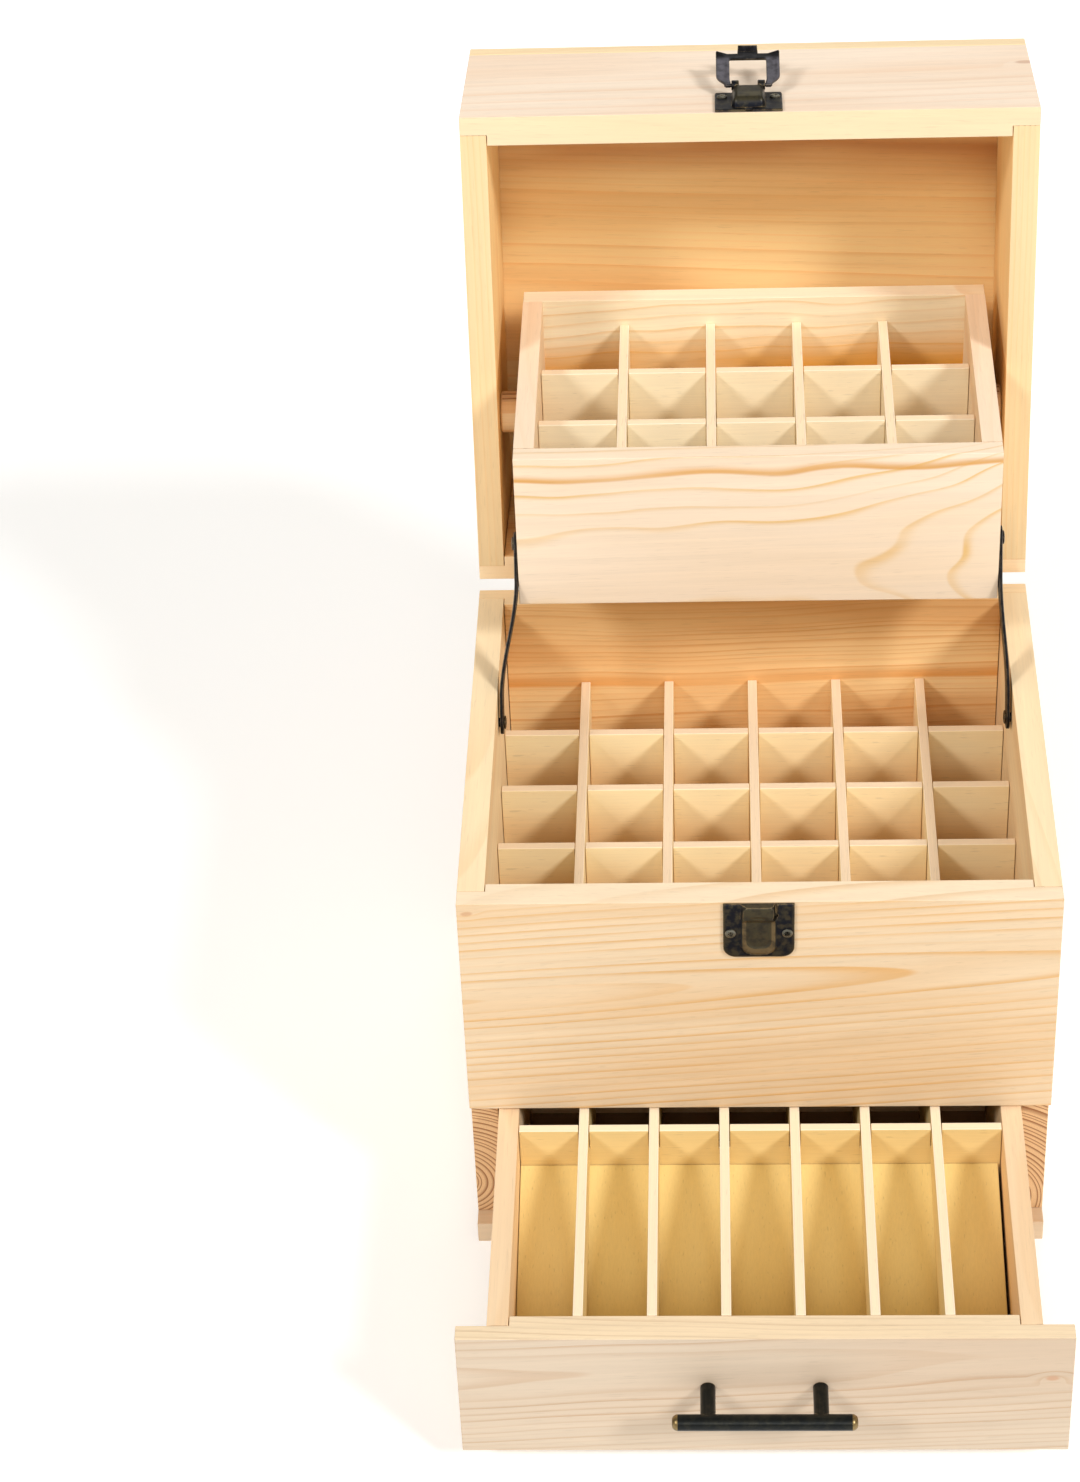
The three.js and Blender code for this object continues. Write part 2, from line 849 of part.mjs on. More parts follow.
// Long dividers stand on the slope, lie over the cross divider and run down behind it.
const drawerDividerXs = dividerCentres(-drawerInner, drawerInner, drawerColumns);
const lap = drawerHeight - slopeHighDrop / 2;
const crossFront = crossSetback - slotFit;
const crossBack = crossSetback + dividerThickness + slotFit;
drawerDividerXs.forEach((x, i) => {
  const outline = [
    [slopeFront, slopeLow + seam],
    [crossFront, slopeHigh + seam],
    [crossFront, lap + slotFit / 2],
    [crossBack, lap + slotFit / 2],
    [crossBack, drawerFloorTop + seam],
    [drawerBackFace - seam, drawerFloorTop + seam],
    [drawerBackFace - seam, drawerHeight],
    [slopeFront, drawerHeight],
  ];
  addPiece(drawer, `drawer_divider_long_${i + 1}`, plywood, sidePrism(outline, dividerThickness), x);
});
const crossSlotReach = dividerThickness / 2 + slotFit;
const crossSlots = drawerDividerXs.flatMap((x) => [
  [x - crossSlotReach, drawerHeight],
  [x - crossSlotReach, lap - slotFit / 2],
  [x + crossSlotReach, lap - slotFit / 2],
  [x + crossSlotReach, drawerHeight],
]);
const crossOutline = [
  [seam - drawerInner, drawerFloorTop + seam],
  [seam - drawerInner, drawerHeight],
  ...crossSlots,
  [drawerInner - seam, drawerHeight],
  [drawerInner - seam, drawerFloorTop + seam],
];
addPiece(
  drawer,
  'drawer_divider_cross',
  plywood,
  facePrism(crossOutline, dividerThickness),
  0,
  crossSetback,
);

// Bar handle: a round bar on two posts, each with a collar at the wood.
function barHandle() {
  const half = handleLength / 2;
  const profile = [
    [0, -half],
    [handleRadius - handleChamfer, -half],
    [handleRadius, handleChamfer - half],
    [handleRadius, half - handleChamfer],
    [handleRadius - handleChamfer, half],
    [0, half],
  ].map(([a, b]) => new THREE.Vector2(a, b));
  const bar = new THREE.LatheGeometry(profile, roundSides).rotateZ(quarter).translate(0, -handleStandoff, 0);
  const posts = [-1, 1].flatMap((side) => [
    new THREE.CylinderGeometry(handlePostRadius, handlePostRadius, handleStandoff, roundSides)
      .translate(side * handlePostSpacing / 2, -handleStandoff / 2, 0),
    new THREE.CylinderGeometry(handleCollarRadius, handleCollarRadius, handleCollarHeight, roundSides)
      .translate(side * handlePostSpacing / 2, -handleCollarHeight / 2, 0),
  ]);
  return joined(bar, ...posts);
}

addPiece(drawer, 'drawer_handle', bronze, barHandle(), 0, -seam, drawerHeight - handleDrop);

export default storageBox;
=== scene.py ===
import json
import math

import bmesh
import bpy
from mathutils import Matrix, Vector


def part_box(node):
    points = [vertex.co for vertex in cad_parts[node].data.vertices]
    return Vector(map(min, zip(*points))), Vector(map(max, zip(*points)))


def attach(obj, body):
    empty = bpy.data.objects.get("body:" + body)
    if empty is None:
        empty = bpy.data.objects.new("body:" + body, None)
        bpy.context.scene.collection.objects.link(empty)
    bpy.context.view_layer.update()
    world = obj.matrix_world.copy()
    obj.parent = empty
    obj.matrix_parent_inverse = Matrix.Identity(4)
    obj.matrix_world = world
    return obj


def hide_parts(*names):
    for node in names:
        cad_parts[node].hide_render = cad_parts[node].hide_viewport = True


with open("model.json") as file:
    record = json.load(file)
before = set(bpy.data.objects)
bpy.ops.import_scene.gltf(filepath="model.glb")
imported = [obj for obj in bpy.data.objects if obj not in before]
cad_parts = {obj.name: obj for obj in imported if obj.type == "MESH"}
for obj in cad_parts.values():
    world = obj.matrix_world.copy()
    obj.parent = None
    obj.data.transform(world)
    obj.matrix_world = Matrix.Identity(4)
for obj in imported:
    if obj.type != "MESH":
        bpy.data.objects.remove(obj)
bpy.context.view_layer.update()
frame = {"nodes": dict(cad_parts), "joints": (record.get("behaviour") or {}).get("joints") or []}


# The bottom board closes the box below: one wide pine board, planed, cut square and glued
# under the side walls, the back panel and the drawer's bay. Its edges are only just eased.

class Finish:
    """One finish while it is being mixed. Each step adds its node and gives back what it puts out."""

    def __init__(self, name):
        self.material = bpy.data.materials.new(name)
        self.material.use_nodes = True
        self.tree = self.material.node_tree
        self.surface = self.tree.nodes["Principled BSDF"]

    def put(self, socket, value):
        if isinstance(value, bpy.types.NodeSocket):
            self.tree.links.new(value, socket)
        else:
            socket.default_value = value

    def step(self, kind, settings, inputs, output=0):
        node = self.tree.nodes.new(kind)
        for key, value in settings.items():
            setattr(node, key, value)
        for key, value in inputs.items():
            self.put(node.inputs[key], value)
        return node.outputs[output]

    def maths(self, operation, a, b=0.0, c=0.0):
        return self.step("ShaderNodeMath", {"operation": operation}, {0: a, 1: b, 2: c})

    def times(self, a, b):
        return self.maths("MULTIPLY", a, b)

    def scaled(self, value, factor, start):
        return self.maths("MULTIPLY_ADD", value, factor, start)

    def vectors(self, operation, a, b=(0, 0, 0), c=(0, 0, 0), output=0):
        return self.step("ShaderNodeVectorMath", {"operation": operation}, {0: a, 1: b, 2: c}, output)

    def attribute(self, name, output="Vector"):
        return self.step("ShaderNodeAttribute", {"attribute_name": name}, {}, output)

    def noise(self, place, per_metre, detail=2.0, roughness=0.5, output="Fac"):
        """Cloudy marks, so many in a metre along each axis."""
        stretched = self.vectors("MULTIPLY", place, per_metre)
        inputs = {"Vector": stretched, "Scale": 1.0, "Detail": detail, "Roughness": roughness}
        return self.step("ShaderNodeTexNoise", {}, inputs, output)

    def wavering(self, place, detail=1.0):
        inputs = {"W": place, "Scale": 1.0, "Detail": detail}
        return self.step("ShaderNodeTexNoise", {"noise_dimensions": "1D"}, inputs)

    def between(self, value, low, high, start=0.0, end=1.0):
        """Goes smoothly from start to end while the value goes from low to high."""
        inputs = {"Value": value, "From Min": low, "From Max": high, "To Min": start, "To Max": end}
        return self.step("ShaderNodeMapRange", {"interpolation_type": "SMOOTHSTEP"}, inputs)

    def mixed(self, share, first, second, blend="MIX"):
        settings = {"data_type": "RGBA", "blend_type": blend}
        return self.step("ShaderNodeMix", settings, {0: share, 6: first, 7: second}, 2)

    def shaded(self, body, shade):
        grey = self.step("ShaderNodeCombineXYZ", {}, {0: shade, 1: shade, 2: shade})
        return self.mixed(1.0, body, grey, "MULTIPLY")

    def relief(self, height, depth, strength):
        inputs = {"Height": height, "Distance": depth, "Strength": strength}
        return self.step("ShaderNodeBump", {}, inputs)

    def coat(self, values):
        """Gives each named socket of the surface its value, and hands over the finish."""
        for name, value in values.items():
            self.put(self.surface.inputs[name], value)
        return self.material


def colour(red, green, blue):
    """A paint-chart colour, 0 to 255, as light."""
    def light(value):
        share = value / 255
        return share / 12.92 if share <= 0.04045 else ((share + 0.055) / 1.055) ** 2.4
    return light(red), light(green), light(blue), 1.0


def wandering(wood, grain, spot, swirl, wander):
    """Each place in the tree once its fibres have drifted off the straight, up to wander metres."""
    drift = wood.noise(spot, (swirl[0], swirl[1], swirl[1]), 1.0, output="Color")
    drift = wood.vectors("SUBTRACT", drift, (0.5, 0.5, 0.5))
    return wood.vectors("MULTIPLY_ADD", drift, (0, 2 * wander, 2 * wander), grain)


def crooked(wood, grain, place, start, bend):
    """The same places in a trunk that bends, more and more, past a start along the grain."""
    along = wood.step("ShaderNodeSeparateXYZ", {}, {0: grain})
    past = wood.maths("MAXIMUM", wood.maths("SUBTRACT", along, start), 0.0)
    bow = wood.times(wood.times(past, past), -bend)
    return wood.vectors("ADD", place, wood.step("ShaderNodeCombineXYZ", {}, {1: bow}))


def from_pith(wood, place):
    """How far each place lies from the middle of its tree."""
    return wood.vectors("LENGTH", wood.vectors("MULTIPLY", place, (0, 1, 1)), output="Value")


def knotted(wood, grain, radius, knots):
    """Swells the rings round each knot (x, z, size), and gives how much of a knot's core shows."""
    core = 0.0
    for x, z, size in knots:
        flat = wood.vectors("MULTIPLY", grain, (KNOT_STRETCH, 0, 1))
        near = wood.vectors("DISTANCE", flat, (KNOT_STRETCH * x, 0, z), output="Value")
        swell = wood.between(near, KNOT_REACH * size, 0.0)
        radius = wood.scaled(swell, KNOT_SWELL * size, radius)
        core = wood.maths("ADD", core, wood.between(near, 1.1 * size, 0.5 * size, 0.0, 0.45))
    return radius, core


def yearly(wood, radius, ring, uneven, onset, faint):
    """How far into its dark summer wood each ring is, and how strongly its line shows."""
    years = wood.maths("DIVIDE", radius, ring)
    waver = wood.maths("SUBTRACT", wood.wavering(wood.times(years, WAVERS_PER_YEAR)), 0.5)
    years = wood.scaled(waver, uneven, years)
    season = wood.maths("FRACT", years)
    year = wood.maths("FLOOR", years)
    luck = wood.step("ShaderNodeTexWhiteNoise", {"noise_dimensions": "1D"}, {"W": year})
    vigour = wood.scaled(luck, 1 - faint, faint)
    summer = wood.between(season, onset, DARKEST)
    summer = wood.times(wood.times(summer, summer), wood.between(season, 1.0, YEARS_END))
    return summer, wood.times(summer, vigour)


def stain_and_shade_band(wood, grain, radius, stain_and_shade_ring, depth):
    """Where a ring of resin colour shows, and on the lid panel a band of painted shade: it peaks on one
    ring, fades over a width, and ends at a depth.
    """
    peak, width = stain_and_shade_ring
    off = wood.maths("SUBTRACT", radius, peak)
    soft_side = wood.between(off, width, 0.0)
    sharp_side = wood.between(off, -0.3 * width, 0.0)
    deep = wood.between(wood.step("ShaderNodeSeparateXYZ", {}, {0: grain}, 2), *depth)
    return wood.times(wood.times(soft_side, sharp_side), deep)


# How often each mark of the wood comes in a metre: along the grain, across it and through it.
FIBRES, STREAKS, PATCHES = (22, 1100, 1100), (9, 260, 260), (5, 34, 34)
CANALS, PORES, FADING = (110, 2300, 2300), (200, 2600, 2600), (9, 60, 60)
WAVERS_PER_YEAR, DARKEST, YEARS_END = 0.31, 0.93, 0.94
KNOT_STRETCH, KNOT_REACH, KNOT_SWELL, KNOT_BROWN = 0.5, 3.5, 1.6, colour(186, 122, 78)
END_EARLY, END_LATE = colour(222, 184, 140), colour(138, 84, 44)
RAW_SHEEN, PINE_RELIEF = 0.3, 0.00012


def pine(
    name, early, late, ring, lines=0.8, wander=0.004, swirl=(5, 20), patches=0.5, uneven=2.4,
    crook=(0, 0), knots=(), rim=colour(250, 227, 188), faint=0.25, onset=0.4,
    stain_and_shade_ring=(0, 0.001), stain_and_shade_tint=colour(206, 138, 70), stain_and_shade_depth=(1.0, 0.9),
):
    """Planed pine, coloured through from the tree's rings, so that faces, edges and ends agree.

    A year is one ring wide, in metres: early wood, then late wood from onset on. Its line is as
    dark as lines says, or as faint as faint in a poor year, and uneven makes the years differ.
    The fibres drift by wander, as often as swirl says. The rim is the colour of the sanded edges.
    """
    wood = Finish(name)
    grain = wood.attribute("grain")
    spot = wood.vectors("ADD", grain, wood.attribute("tree"))
    place = wandering(wood, grain, spot, swirl, wander)
    straight_radius = from_pith(wood, place)
    if crook[1]:
        place = crooked(wood, grain, place, *crook)
    radius, knot_core = knotted(wood, grain, from_pith(wood, place), knots)
    summer, line = yearly(wood, radius, ring, uneven, onset, faint)
    fading = wood.between(wood.noise(spot, FADING, 1.0), 0.3, 0.6, 0.5, 1.0)
    line = wood.times(line, fading)
    fibre = wood.noise(spot, FIBRES, 3.0, 0.6)
    streak = wood.noise(spot, STREAKS, 2.0)
    patch = wood.noise(spot, PATCHES, 2.0)
    canal = wood.between(wood.noise(spot, CANALS, 0.0), 0.68, 0.8)

    warm = wood.mixed(wood.times(wood.between(patch, 0.35, 0.7), patches), early, late)
    body = wood.mixed(wood.times(line, lines), warm, late)
    # A ring of resin colour; on the lid panel this band is painted shade.
    if stain_and_shade_ring[0]:
        stain_and_shade_amount = stain_and_shade_band(wood, grain, straight_radius, stain_and_shade_ring, stain_and_shade_depth)
        body = wood.mixed(wood.times(stain_and_shade_amount, wood.times(fading, 0.9)), body, stain_and_shade_tint)
    body = wood.mixed(knot_core, body, KNOT_BROWN)
    sanded = wood.mixed(wood.times(line, 0.6 * lines), rim, late)
    body = wood.mixed(wood.times(wood.attribute("sanded_rim", "Fac"), 0.85), body, sanded)
    shade = wood.scaled(fibre, 0.13, wood.scaled(streak, 0.16, 0.87))
    shade = wood.maths("SUBTRACT", shade, wood.times(canal, 0.08))
    face = wood.shaded(body, shade)

    # Sawn ends drink in more light: darker and warmer, with bolder rings and open pores.
    end_line = wood.times(wood.maths("POWER", summer, 0.6), 0.9)
    end_body = wood.mixed(end_line, END_EARLY, END_LATE)
    end_face = wood.shaded(end_body, wood.scaled(wood.noise(spot, PORES, 1.0), 0.5, 0.72))
    is_end = wood.attribute("sawn_end", "Fac")
    rough = wood.scaled(line, -0.12, wood.scaled(fibre, 0.25, 0.45))
    height = wood.maths("ADD", wood.times(line, 0.6), wood.times(fibre, 0.7))
    return wood.coat({
        "Base Color": wood.mixed(is_end, face, end_face),
        "Roughness": wood.scaled(is_end, 0.2, rough),
        "Specular IOR Level": RAW_SHEEN,
        "Normal": wood.relief(height, PINE_RELIEF, 0.7),
    })


SAME_SPOT = 2e-6
FLAT = math.radians(1)
SHARP = math.radians(30)
EASE = 0.0003


def planed(node):
    """The solid of a frame node with its flat faces whole and its sharp edges eased."""
    solid = bmesh.new()
    solid.from_mesh(frame["nodes"][node].data)
    bmesh.ops.remove_doubles(solid, verts=solid.verts, dist=SAME_SPOT)
    bmesh.ops.dissolve_limit(solid, angle_limit=FLAT, verts=solid.verts, edges=solid.edges)
    sharp = [e for e in solid.edges if len(e.link_faces) == 2 and e.calc_face_angle() > SHARP]
    bmesh.ops.bevel(
        solid, geom=sharp, offset=EASE, segments=2, profile=0.5, affect="EDGES", clamp_overlap=True
    )
    return solid


ALONG_X, ALONG_Y, ALONG_Z = range(3)
STANDING = Matrix.Identity(4)
TREE_STEP = 0.6
SQUARE_ON = 0.9


def laid_grain(solid, along, pith, lean, seed, closed=STANDING):
    """Marks each point with its place in the tree: x along the grain, y and z out from the pith."""
    spots = [closed @ v.co for v in solid.verts]
    low = Vector(map(min, zip(*spots)))
    high = Vector(map(max, zip(*spots)))
    middle = (low + high) / 2
    across = [axis for axis in range(3) if axis != along]
    solid.verts.layers.float_vector.new("grain")
    solid.verts.layers.float.new("tree")
    layer = solid.verts.layers.float_vector["grain"]
    tree = solid.verts.layers.float["tree"]
    for vertex, spot in zip(solid.verts, spots):
        x = spot[along] - middle[along]
        y, z = (spot[a] - middle[a] - p - l * x for a, p, l in zip(across, pith, lean))
        vertex[layer] = (x, y, z)
        vertex[tree] = TREE_STEP * seed
    solid.faces.layers.float.new("sawn_end")
    solid.faces.layers.float.new("sanded_rim")
    end = solid.faces.layers.float["sawn_end"]
    rim = solid.faces.layers.float["sanded_rim"]
    wide = max(across, key=lambda axis: high[axis] - low[axis])
    swing = closed.to_3x3()
    for face in solid.faces:
        normal = swing @ face.normal
        face[end] = 1.0 if abs(normal[along]) > SQUARE_ON else 0.0
        face[rim] = 1.0 if abs(normal[wide]) > SQUARE_ON else 0.0


def fixed(name, solid, finish, body, slot, *nodes):
    """Makes a solid into a piece in its finish, riding on its body in place of its frame nodes."""
    mesh = bpy.data.meshes.new(name)
    solid.normal_update()
    solid.to_mesh(mesh)
    solid.free()
    mesh.materials.append(finish)
    piece = bpy.data.objects.new(name, mesh)
    bpy.context.scene.collection.objects.link(piece)
    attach(piece, body)
    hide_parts(*nodes)
    return piece


GLUE_GAP = 0.00029
END_REACH = 0.0008


def glued_up(solid, along, closed):
    """Lengthens a board by the saw-thin gap at each end, so that it meets what it is glued to."""
    places = [(closed @ v.co)[along] for v in solid.verts]
    low, high = min(places), max(places)
    way = closed.inverted().to_3x3().col[along] * GLUE_GAP
    for vertex, place in zip(solid.verts, places):
        if place > high - END_REACH:
            vertex.co += way
        elif place < low + END_REACH:
            vertex.co -= way


def board(node, body, finish, along, pith, lean, seed, closed=STANDING):
    """A pine board in place of its node. One that runs back is glued between a front and a back."""
    solid = planed(node)
    if along == ALONG_Y:
        glued_up(solid, along, closed)
    laid_grain(solid, along, pith, lean, seed, closed)
    return fixed(node + "_board", solid, finish, body, "pine", node)


# The bottom board is coloured darker than the walls, on its faces and its edges alike: painted shade for
# its low place by the floor.
bottom_pine = pine(
    "bottom_pine", colour(216, 188, 156), colour(196, 152, 110), ring=0.0032,
    rim=colour(216, 192, 162),
)
board("base_bottom_board", "base", bottom_pine, ALONG_X, pith=(0.03, -0.05), lean=(0.02, 0.01), seed=1)


# Two side walls stand on the bottom board and are lapped by the front and the back. They are
# flat-sawn pine with the grain running back, so their sawn ends show beside the drawer.

wall_pine = pine(
    "wall_pine", colour(251, 228, 186), colour(234, 186, 128), ring=0.0021, lines=0.5, wander=0.002
)
board("base_side_left", "base", wall_pine, ALONG_Y, pith=(-0.012, -0.07), lean=(0.01, 0.02), seed=2)
board("base_side_right", "base", wall_pine, ALONG_Y, pith=(-0.02, -0.085), lean=(0.01, -0.02), seed=3)


# The back panel closes the base behind. It is one quarter-sawn board with tight, straight
# rings, a warmer heart colour and one stained ring, which show above the dividers.

back_pine = pine(
    "back_pine", colour(254, 216, 158), colour(220, 148, 74), ring=0.0030, lines=0.62, wander=0.005,
    swirl=(9, 24), stain_and_shade_ring=(0.206, 0.008), stain_and_shade_tint=colour(230, 160, 84),
)
board("base_back_panel", "base", back_pine, ALONG_X, pith=(0.006, -0.16), lean=(0.0, 0.012), seed=4)


# The front panel laps over both side walls above the drawer. It is flat-sawn: long pointed
# arches above, and close lines that rise to the right below.

front_pine = pine(
    "front_pine", colour(223, 200, 168), colour(212, 162, 96), ring=0.0040, lines=0.85, wander=0.0009,
    swirl=(9, 30), patches=0.25, uneven=0.5, rim=colour(250, 230, 200),
    knots=[(-0.116, 0.0465, 0.0014)],
)
board(
    "base_front_panel", "base", front_pine, ALONG_X, pith=(-0.01505, 0.0135), lean=(-0.0455, 0.08), seed=5
)


# The compartment floor is a plywood sheet let in above the drawer's bay, and the grid on it is
# nine plywood strips, slotted half way and pushed together: five long ones over four cross ones.

VENEER_FLOW, VENEER_FIBRES, VENEER_SPECKS = (7, 60, 60), (30, 1300, 1300), (160, 1500, 1500)
GLUE_LINE, GLUE_BROWN = 0.36, colour(186, 140, 100)
AMBER_FROM, AMBER_FULL, PLY_RELIEF = 0.003, 0.028, 0.00008


def plywood(
    name, face, core, skin=colour(255, 242, 218), heartwood=colour(255, 232, 198),
    amber=colour(236, 176, 104), painted_shade=0.0,
):
    """Thin sanded plywood: smooth rotary-cut faces, and on its edges the layers it is glued from.

    The skin and the heartwood are the outer and the middle layers that an edge shows, and
    painted_shade is how far a face is painted amber well below its piece's rim: painted shade deep in the
    cells.
    """
    wood = Finish(name)
    grain = wood.attribute("grain")
    flow = wood.noise(grain, VENEER_FLOW, 2.0)
    fibre = wood.noise(grain, VENEER_FIBRES, 3.0, 0.6)
    speck = wood.between(wood.noise(grain, VENEER_SPECKS, 0.0), 0.72, 0.84)
    veneer = wood.mixed(wood.times(wood.between(flow, 0.3, 0.75), 0.4), face, core)
    # Painted shade: faces turn amber the further they lie below the rim, standing for the shade deep in
    # the cells.
    below_rim = wood.attribute("below_rim", "Fac")
    painted_shade_share = wood.between(below_rim, AMBER_FROM, AMBER_FULL, 0.0, painted_shade)
    veneer = wood.mixed(painted_shade_share, veneer, amber)

    off_middle = wood.maths("ABSOLUTE", wood.attribute("layer", "Fac"))
    heart = wood.between(off_middle, GLUE_LINE + 0.06, GLUE_LINE - 0.06)
    layers = wood.mixed(wood.times(heart, 0.85), skin, heartwood)
    off_glue = wood.maths("ABSOLUTE", wood.maths("SUBTRACT", off_middle, GLUE_LINE))
    glue = wood.times(wood.between(off_glue, 0.05, 0.0), 0.2)
    layers = wood.mixed(glue, layers, GLUE_BROWN)
    body = wood.mixed(wood.attribute("sawn_edge", "Fac"), veneer, layers)

    shade = wood.scaled(fibre, 0.16, 0.92)
    shade = wood.maths("SUBTRACT", shade, wood.times(speck, 0.12))
    return wood.coat({
        "Base Color": wood.shaded(body, shade),
        "Roughness": wood.scaled(fibre, 0.2, 0.5),
        "Specular IOR Level": RAW_SHEEN,
        "Normal": wood.relief(fibre, PLY_RELIEF, 0.6),
    })


FACE_ON = 0.7


def strip(node, body, finish, along, through, seed):
    """A plywood piece in place of its node, its veneer along one axis and its layers through another."""
    solid = planed(node)
    laid_grain(solid, along, pith=(0.03, 0.02), lean=(0.01, 0.0), seed=seed)
    low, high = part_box(node)
    middle, thick = (low + high) / 2, (high - low)[through]
    solid.verts.layers.float.new("layer")
    solid.verts.layers.float.new("below_rim")
    depth = solid.verts.layers.float["layer"]
    below_rim = solid.verts.layers.float["below_rim"]
    for vertex in solid.verts:
        vertex[depth] = (vertex.co[through] - middle[through]) / thick
        vertex[below_rim] = high.z - vertex.co.z
    edges = solid.faces.layers.float.new("sawn_edge")
    for face in solid.faces:
        face[edges] = 0.0 if abs(face.normal[through]) > FACE_ON else 1.0
    return fixed(node + "_ply", solid, finish, body, "plywood", node)


def dividers(stem, body, finish, count, along, through, seed):
    """A row of like strips, numbered from 1."""
    for number in range(1, count + 1):
        strip(f"{stem}_{number}", body, finish, along, through, seed + number)


# Low in the base's cells these faces carry painted shade.
divider_ply = plywood(
    "divider_ply", colour(255, 236, 190), colour(250, 217, 164), skin=colour(252, 232, 203),
    heartwood=colour(243, 219, 187), painted_shade=0.45,
)
strip("compartment_floor", "base", divider_ply, ALONG_X, ALONG_Z, seed=6)
dividers("compartment_divider_long", "base", divider_ply, 5, ALONG_Y, ALONG_X, seed=6)
dividers("compartment_divider_cross", "base", divider_ply, 4, ALONG_X, ALONG_Y, seed=12)


# The catch plate is pressed from thin steel and darkened to antique bronze. Its tongue is raised
# for the latch's hook, with a hump at the rim and a slit beside it. Two screws hold it.

MM = 0.001
CLOUDS, GRIT = (260, 260, 260), (2200, 2200, 2200)
RUBBED_REACH, PLATING_RELIEF = 0.0006, 0.00006


def bronze(name, dark, warm, worn, rough=0.38, cloudy=0.6):
    """Darkened bronze plating, cloudy brown and blue-black, rubbed through to brass on the edges."""
    metal = Finish(name)
    dark, warm, worn = ((*tone, 1.0) for tone in (dark, warm, worn))
    place = metal.step("ShaderNodeTexCoord", {}, {}, "Object")
    cloud = metal.noise(place, CLOUDS, 3.0, 0.6)
    grit = metal.noise(place, GRIT, 2.0, 0.6)
    handled = metal.attribute("handled", "Fac")
    wear = metal.times(handled, metal.between(cloud, 0.32, 0.62, 0.5, 1.0))
    warmth = metal.maths("MAXIMUM", metal.between(cloud, 0.4, 0.66, 0.0, cloudy), wear)
    body = metal.mixed(warmth, dark, warm)
    rounded = metal.step("ShaderNodeBevel", {"samples": 6}, {"Radius": RUBBED_REACH})
    true = metal.step("ShaderNodeNewGeometry", {}, {}, "Normal")
    agree = metal.vectors("DOT_PRODUCT", rounded, true, output="Value")
    rubbed = metal.times(metal.between(agree, 0.99, 0.86), metal.between(cloud, 0.35, 0.6, 0.2, 1.0))
    brassy = metal.between(handled, 0.85, 1.0, 0.0, 0.9)
    brassy = metal.times(brassy, metal.between(cloud, 0.3, 0.55, 0.4, 1.0))
    bare = metal.maths("MAXIMUM", rubbed, brassy)
    return metal.coat({
        "Base Color": metal.mixed(bare, body, worn),
        "Metallic": 0.9,
        "Roughness": metal.scaled(grit, 0.25, rough - 0.1),
        "Normal": metal.relief(metal.scaled(grit, 0.4, cloud), PLATING_RELIEF, 0.5),
    })


def ramp(value, start, end):
    """0 up to start, 1 from end on, and a smooth slope between."""
    share = min(max((value - start) / (end - start), 0.0), 1.0)
    return share * share * (3 - 2 * share)


def depth_in(x, z, half, low, high, corner):
    """How far a point lies inside a rectangle with rounded corners, in x and z."""
    over_x = abs(x) - half + corner
    over_z = abs(z - (low + high) / 2) - (high - low) / 2 + corner
    outside = math.hypot(max(over_x, 0), max(over_z, 0))
    return corner - outside - min(max(over_x, over_z), 0)


def level(x, z):
    """A face with nothing pressed into it."""
    return 0.0


BEND_STEPS = 10
NARROWEST = 0.02


def stamped(half, low, high, corners, front, back=level, handled=level, columns=60, rows=40):
    """A plate 2 x half wide, in mm, rounded at its low and high corners, pressed to a front and a back."""
    def reach(z):
        width = half
        for corner, edge in zip(corners, (z - low, high - z)):
            if edge < corner:
                width = min(width, half - corner + math.sqrt(corner ** 2 - (corner - edge) ** 2))
        return max(width, NARROWEST)

    bends = [i * math.pi / 2 / BEND_STEPS for i in range(BEND_STEPS)]
    levels = {low + corners[0] * (1 - math.cos(t)) for t in bends}
    levels |= {high - corners[1] * (1 - math.cos(t)) for t in bends}
    levels |= {low + corners[0] + (high - low - sum(corners)) * i / rows for i in range(rows + 1)}
    solid = bmesh.new()
    worn = solid.verts.layers.float.new("handled")
    sheets = []
    for side in (front, back):
        grid = []
        for z in sorted(levels):
            row = []
            for column in range(columns + 1):
                x = reach(z) * (2 * column / columns - 1)
                vertex = solid.verts.new((x * MM, -side(x, z) * MM, z * MM))
                vertex[worn] = handled(x, z)
                row.append(vertex)
            grid.append(row)
        for lower, upper in zip(grid, grid[1:]):
            for a, b, c, d in zip(lower, lower[1:], upper[1:], upper):
                solid.faces.new((a, b, c, d) if side is front else (d, c, b, a))
        up_right = [row[-1] for row in grid[1:]]
        down_left = [row[0] for row in grid[-2:0:-1]]
        sheets.append(grid[0] + up_right + grid[-1][-2::-1] + down_left)
    for i, (a, b) in enumerate(zip(*sheets)):
        solid.faces.new((sheets[0][i - 1], sheets[1][i - 1], b, a))
    bmesh.ops.recalc_face_normals(solid, faces=solid.faces)
    return solid


def turned(profile, around=48, dip=level):
    """A round solid about Z from (radius, height) points in mm that start and end on the axis."""
    solid = bmesh.new()
    spokes = [2 * math.pi * i / around for i in range(around)]
    rings = []
    for radius, height in profile:
        if radius == 0:
            tip = solid.verts.new((0, 0, (height - dip(0, 0)) * MM))
            rings.append([tip] * around)
            continue
        spots = [(radius * math.cos(t), radius * math.sin(t)) for t in spokes]
        rings.append([solid.verts.new((x * MM, y * MM, (height - dip(x, y)) * MM)) for x, y in spots])
    for inner, outer in zip(rings, rings[1:]):
        for i in range(around):
            corners = (inner[i], inner[i - 1], outer[i - 1], outer[i])
            solid.faces.new(list(dict.fromkeys(corners)))
    bmesh.ops.recalc_face_normals(solid, faces=solid.faces)
    return solid


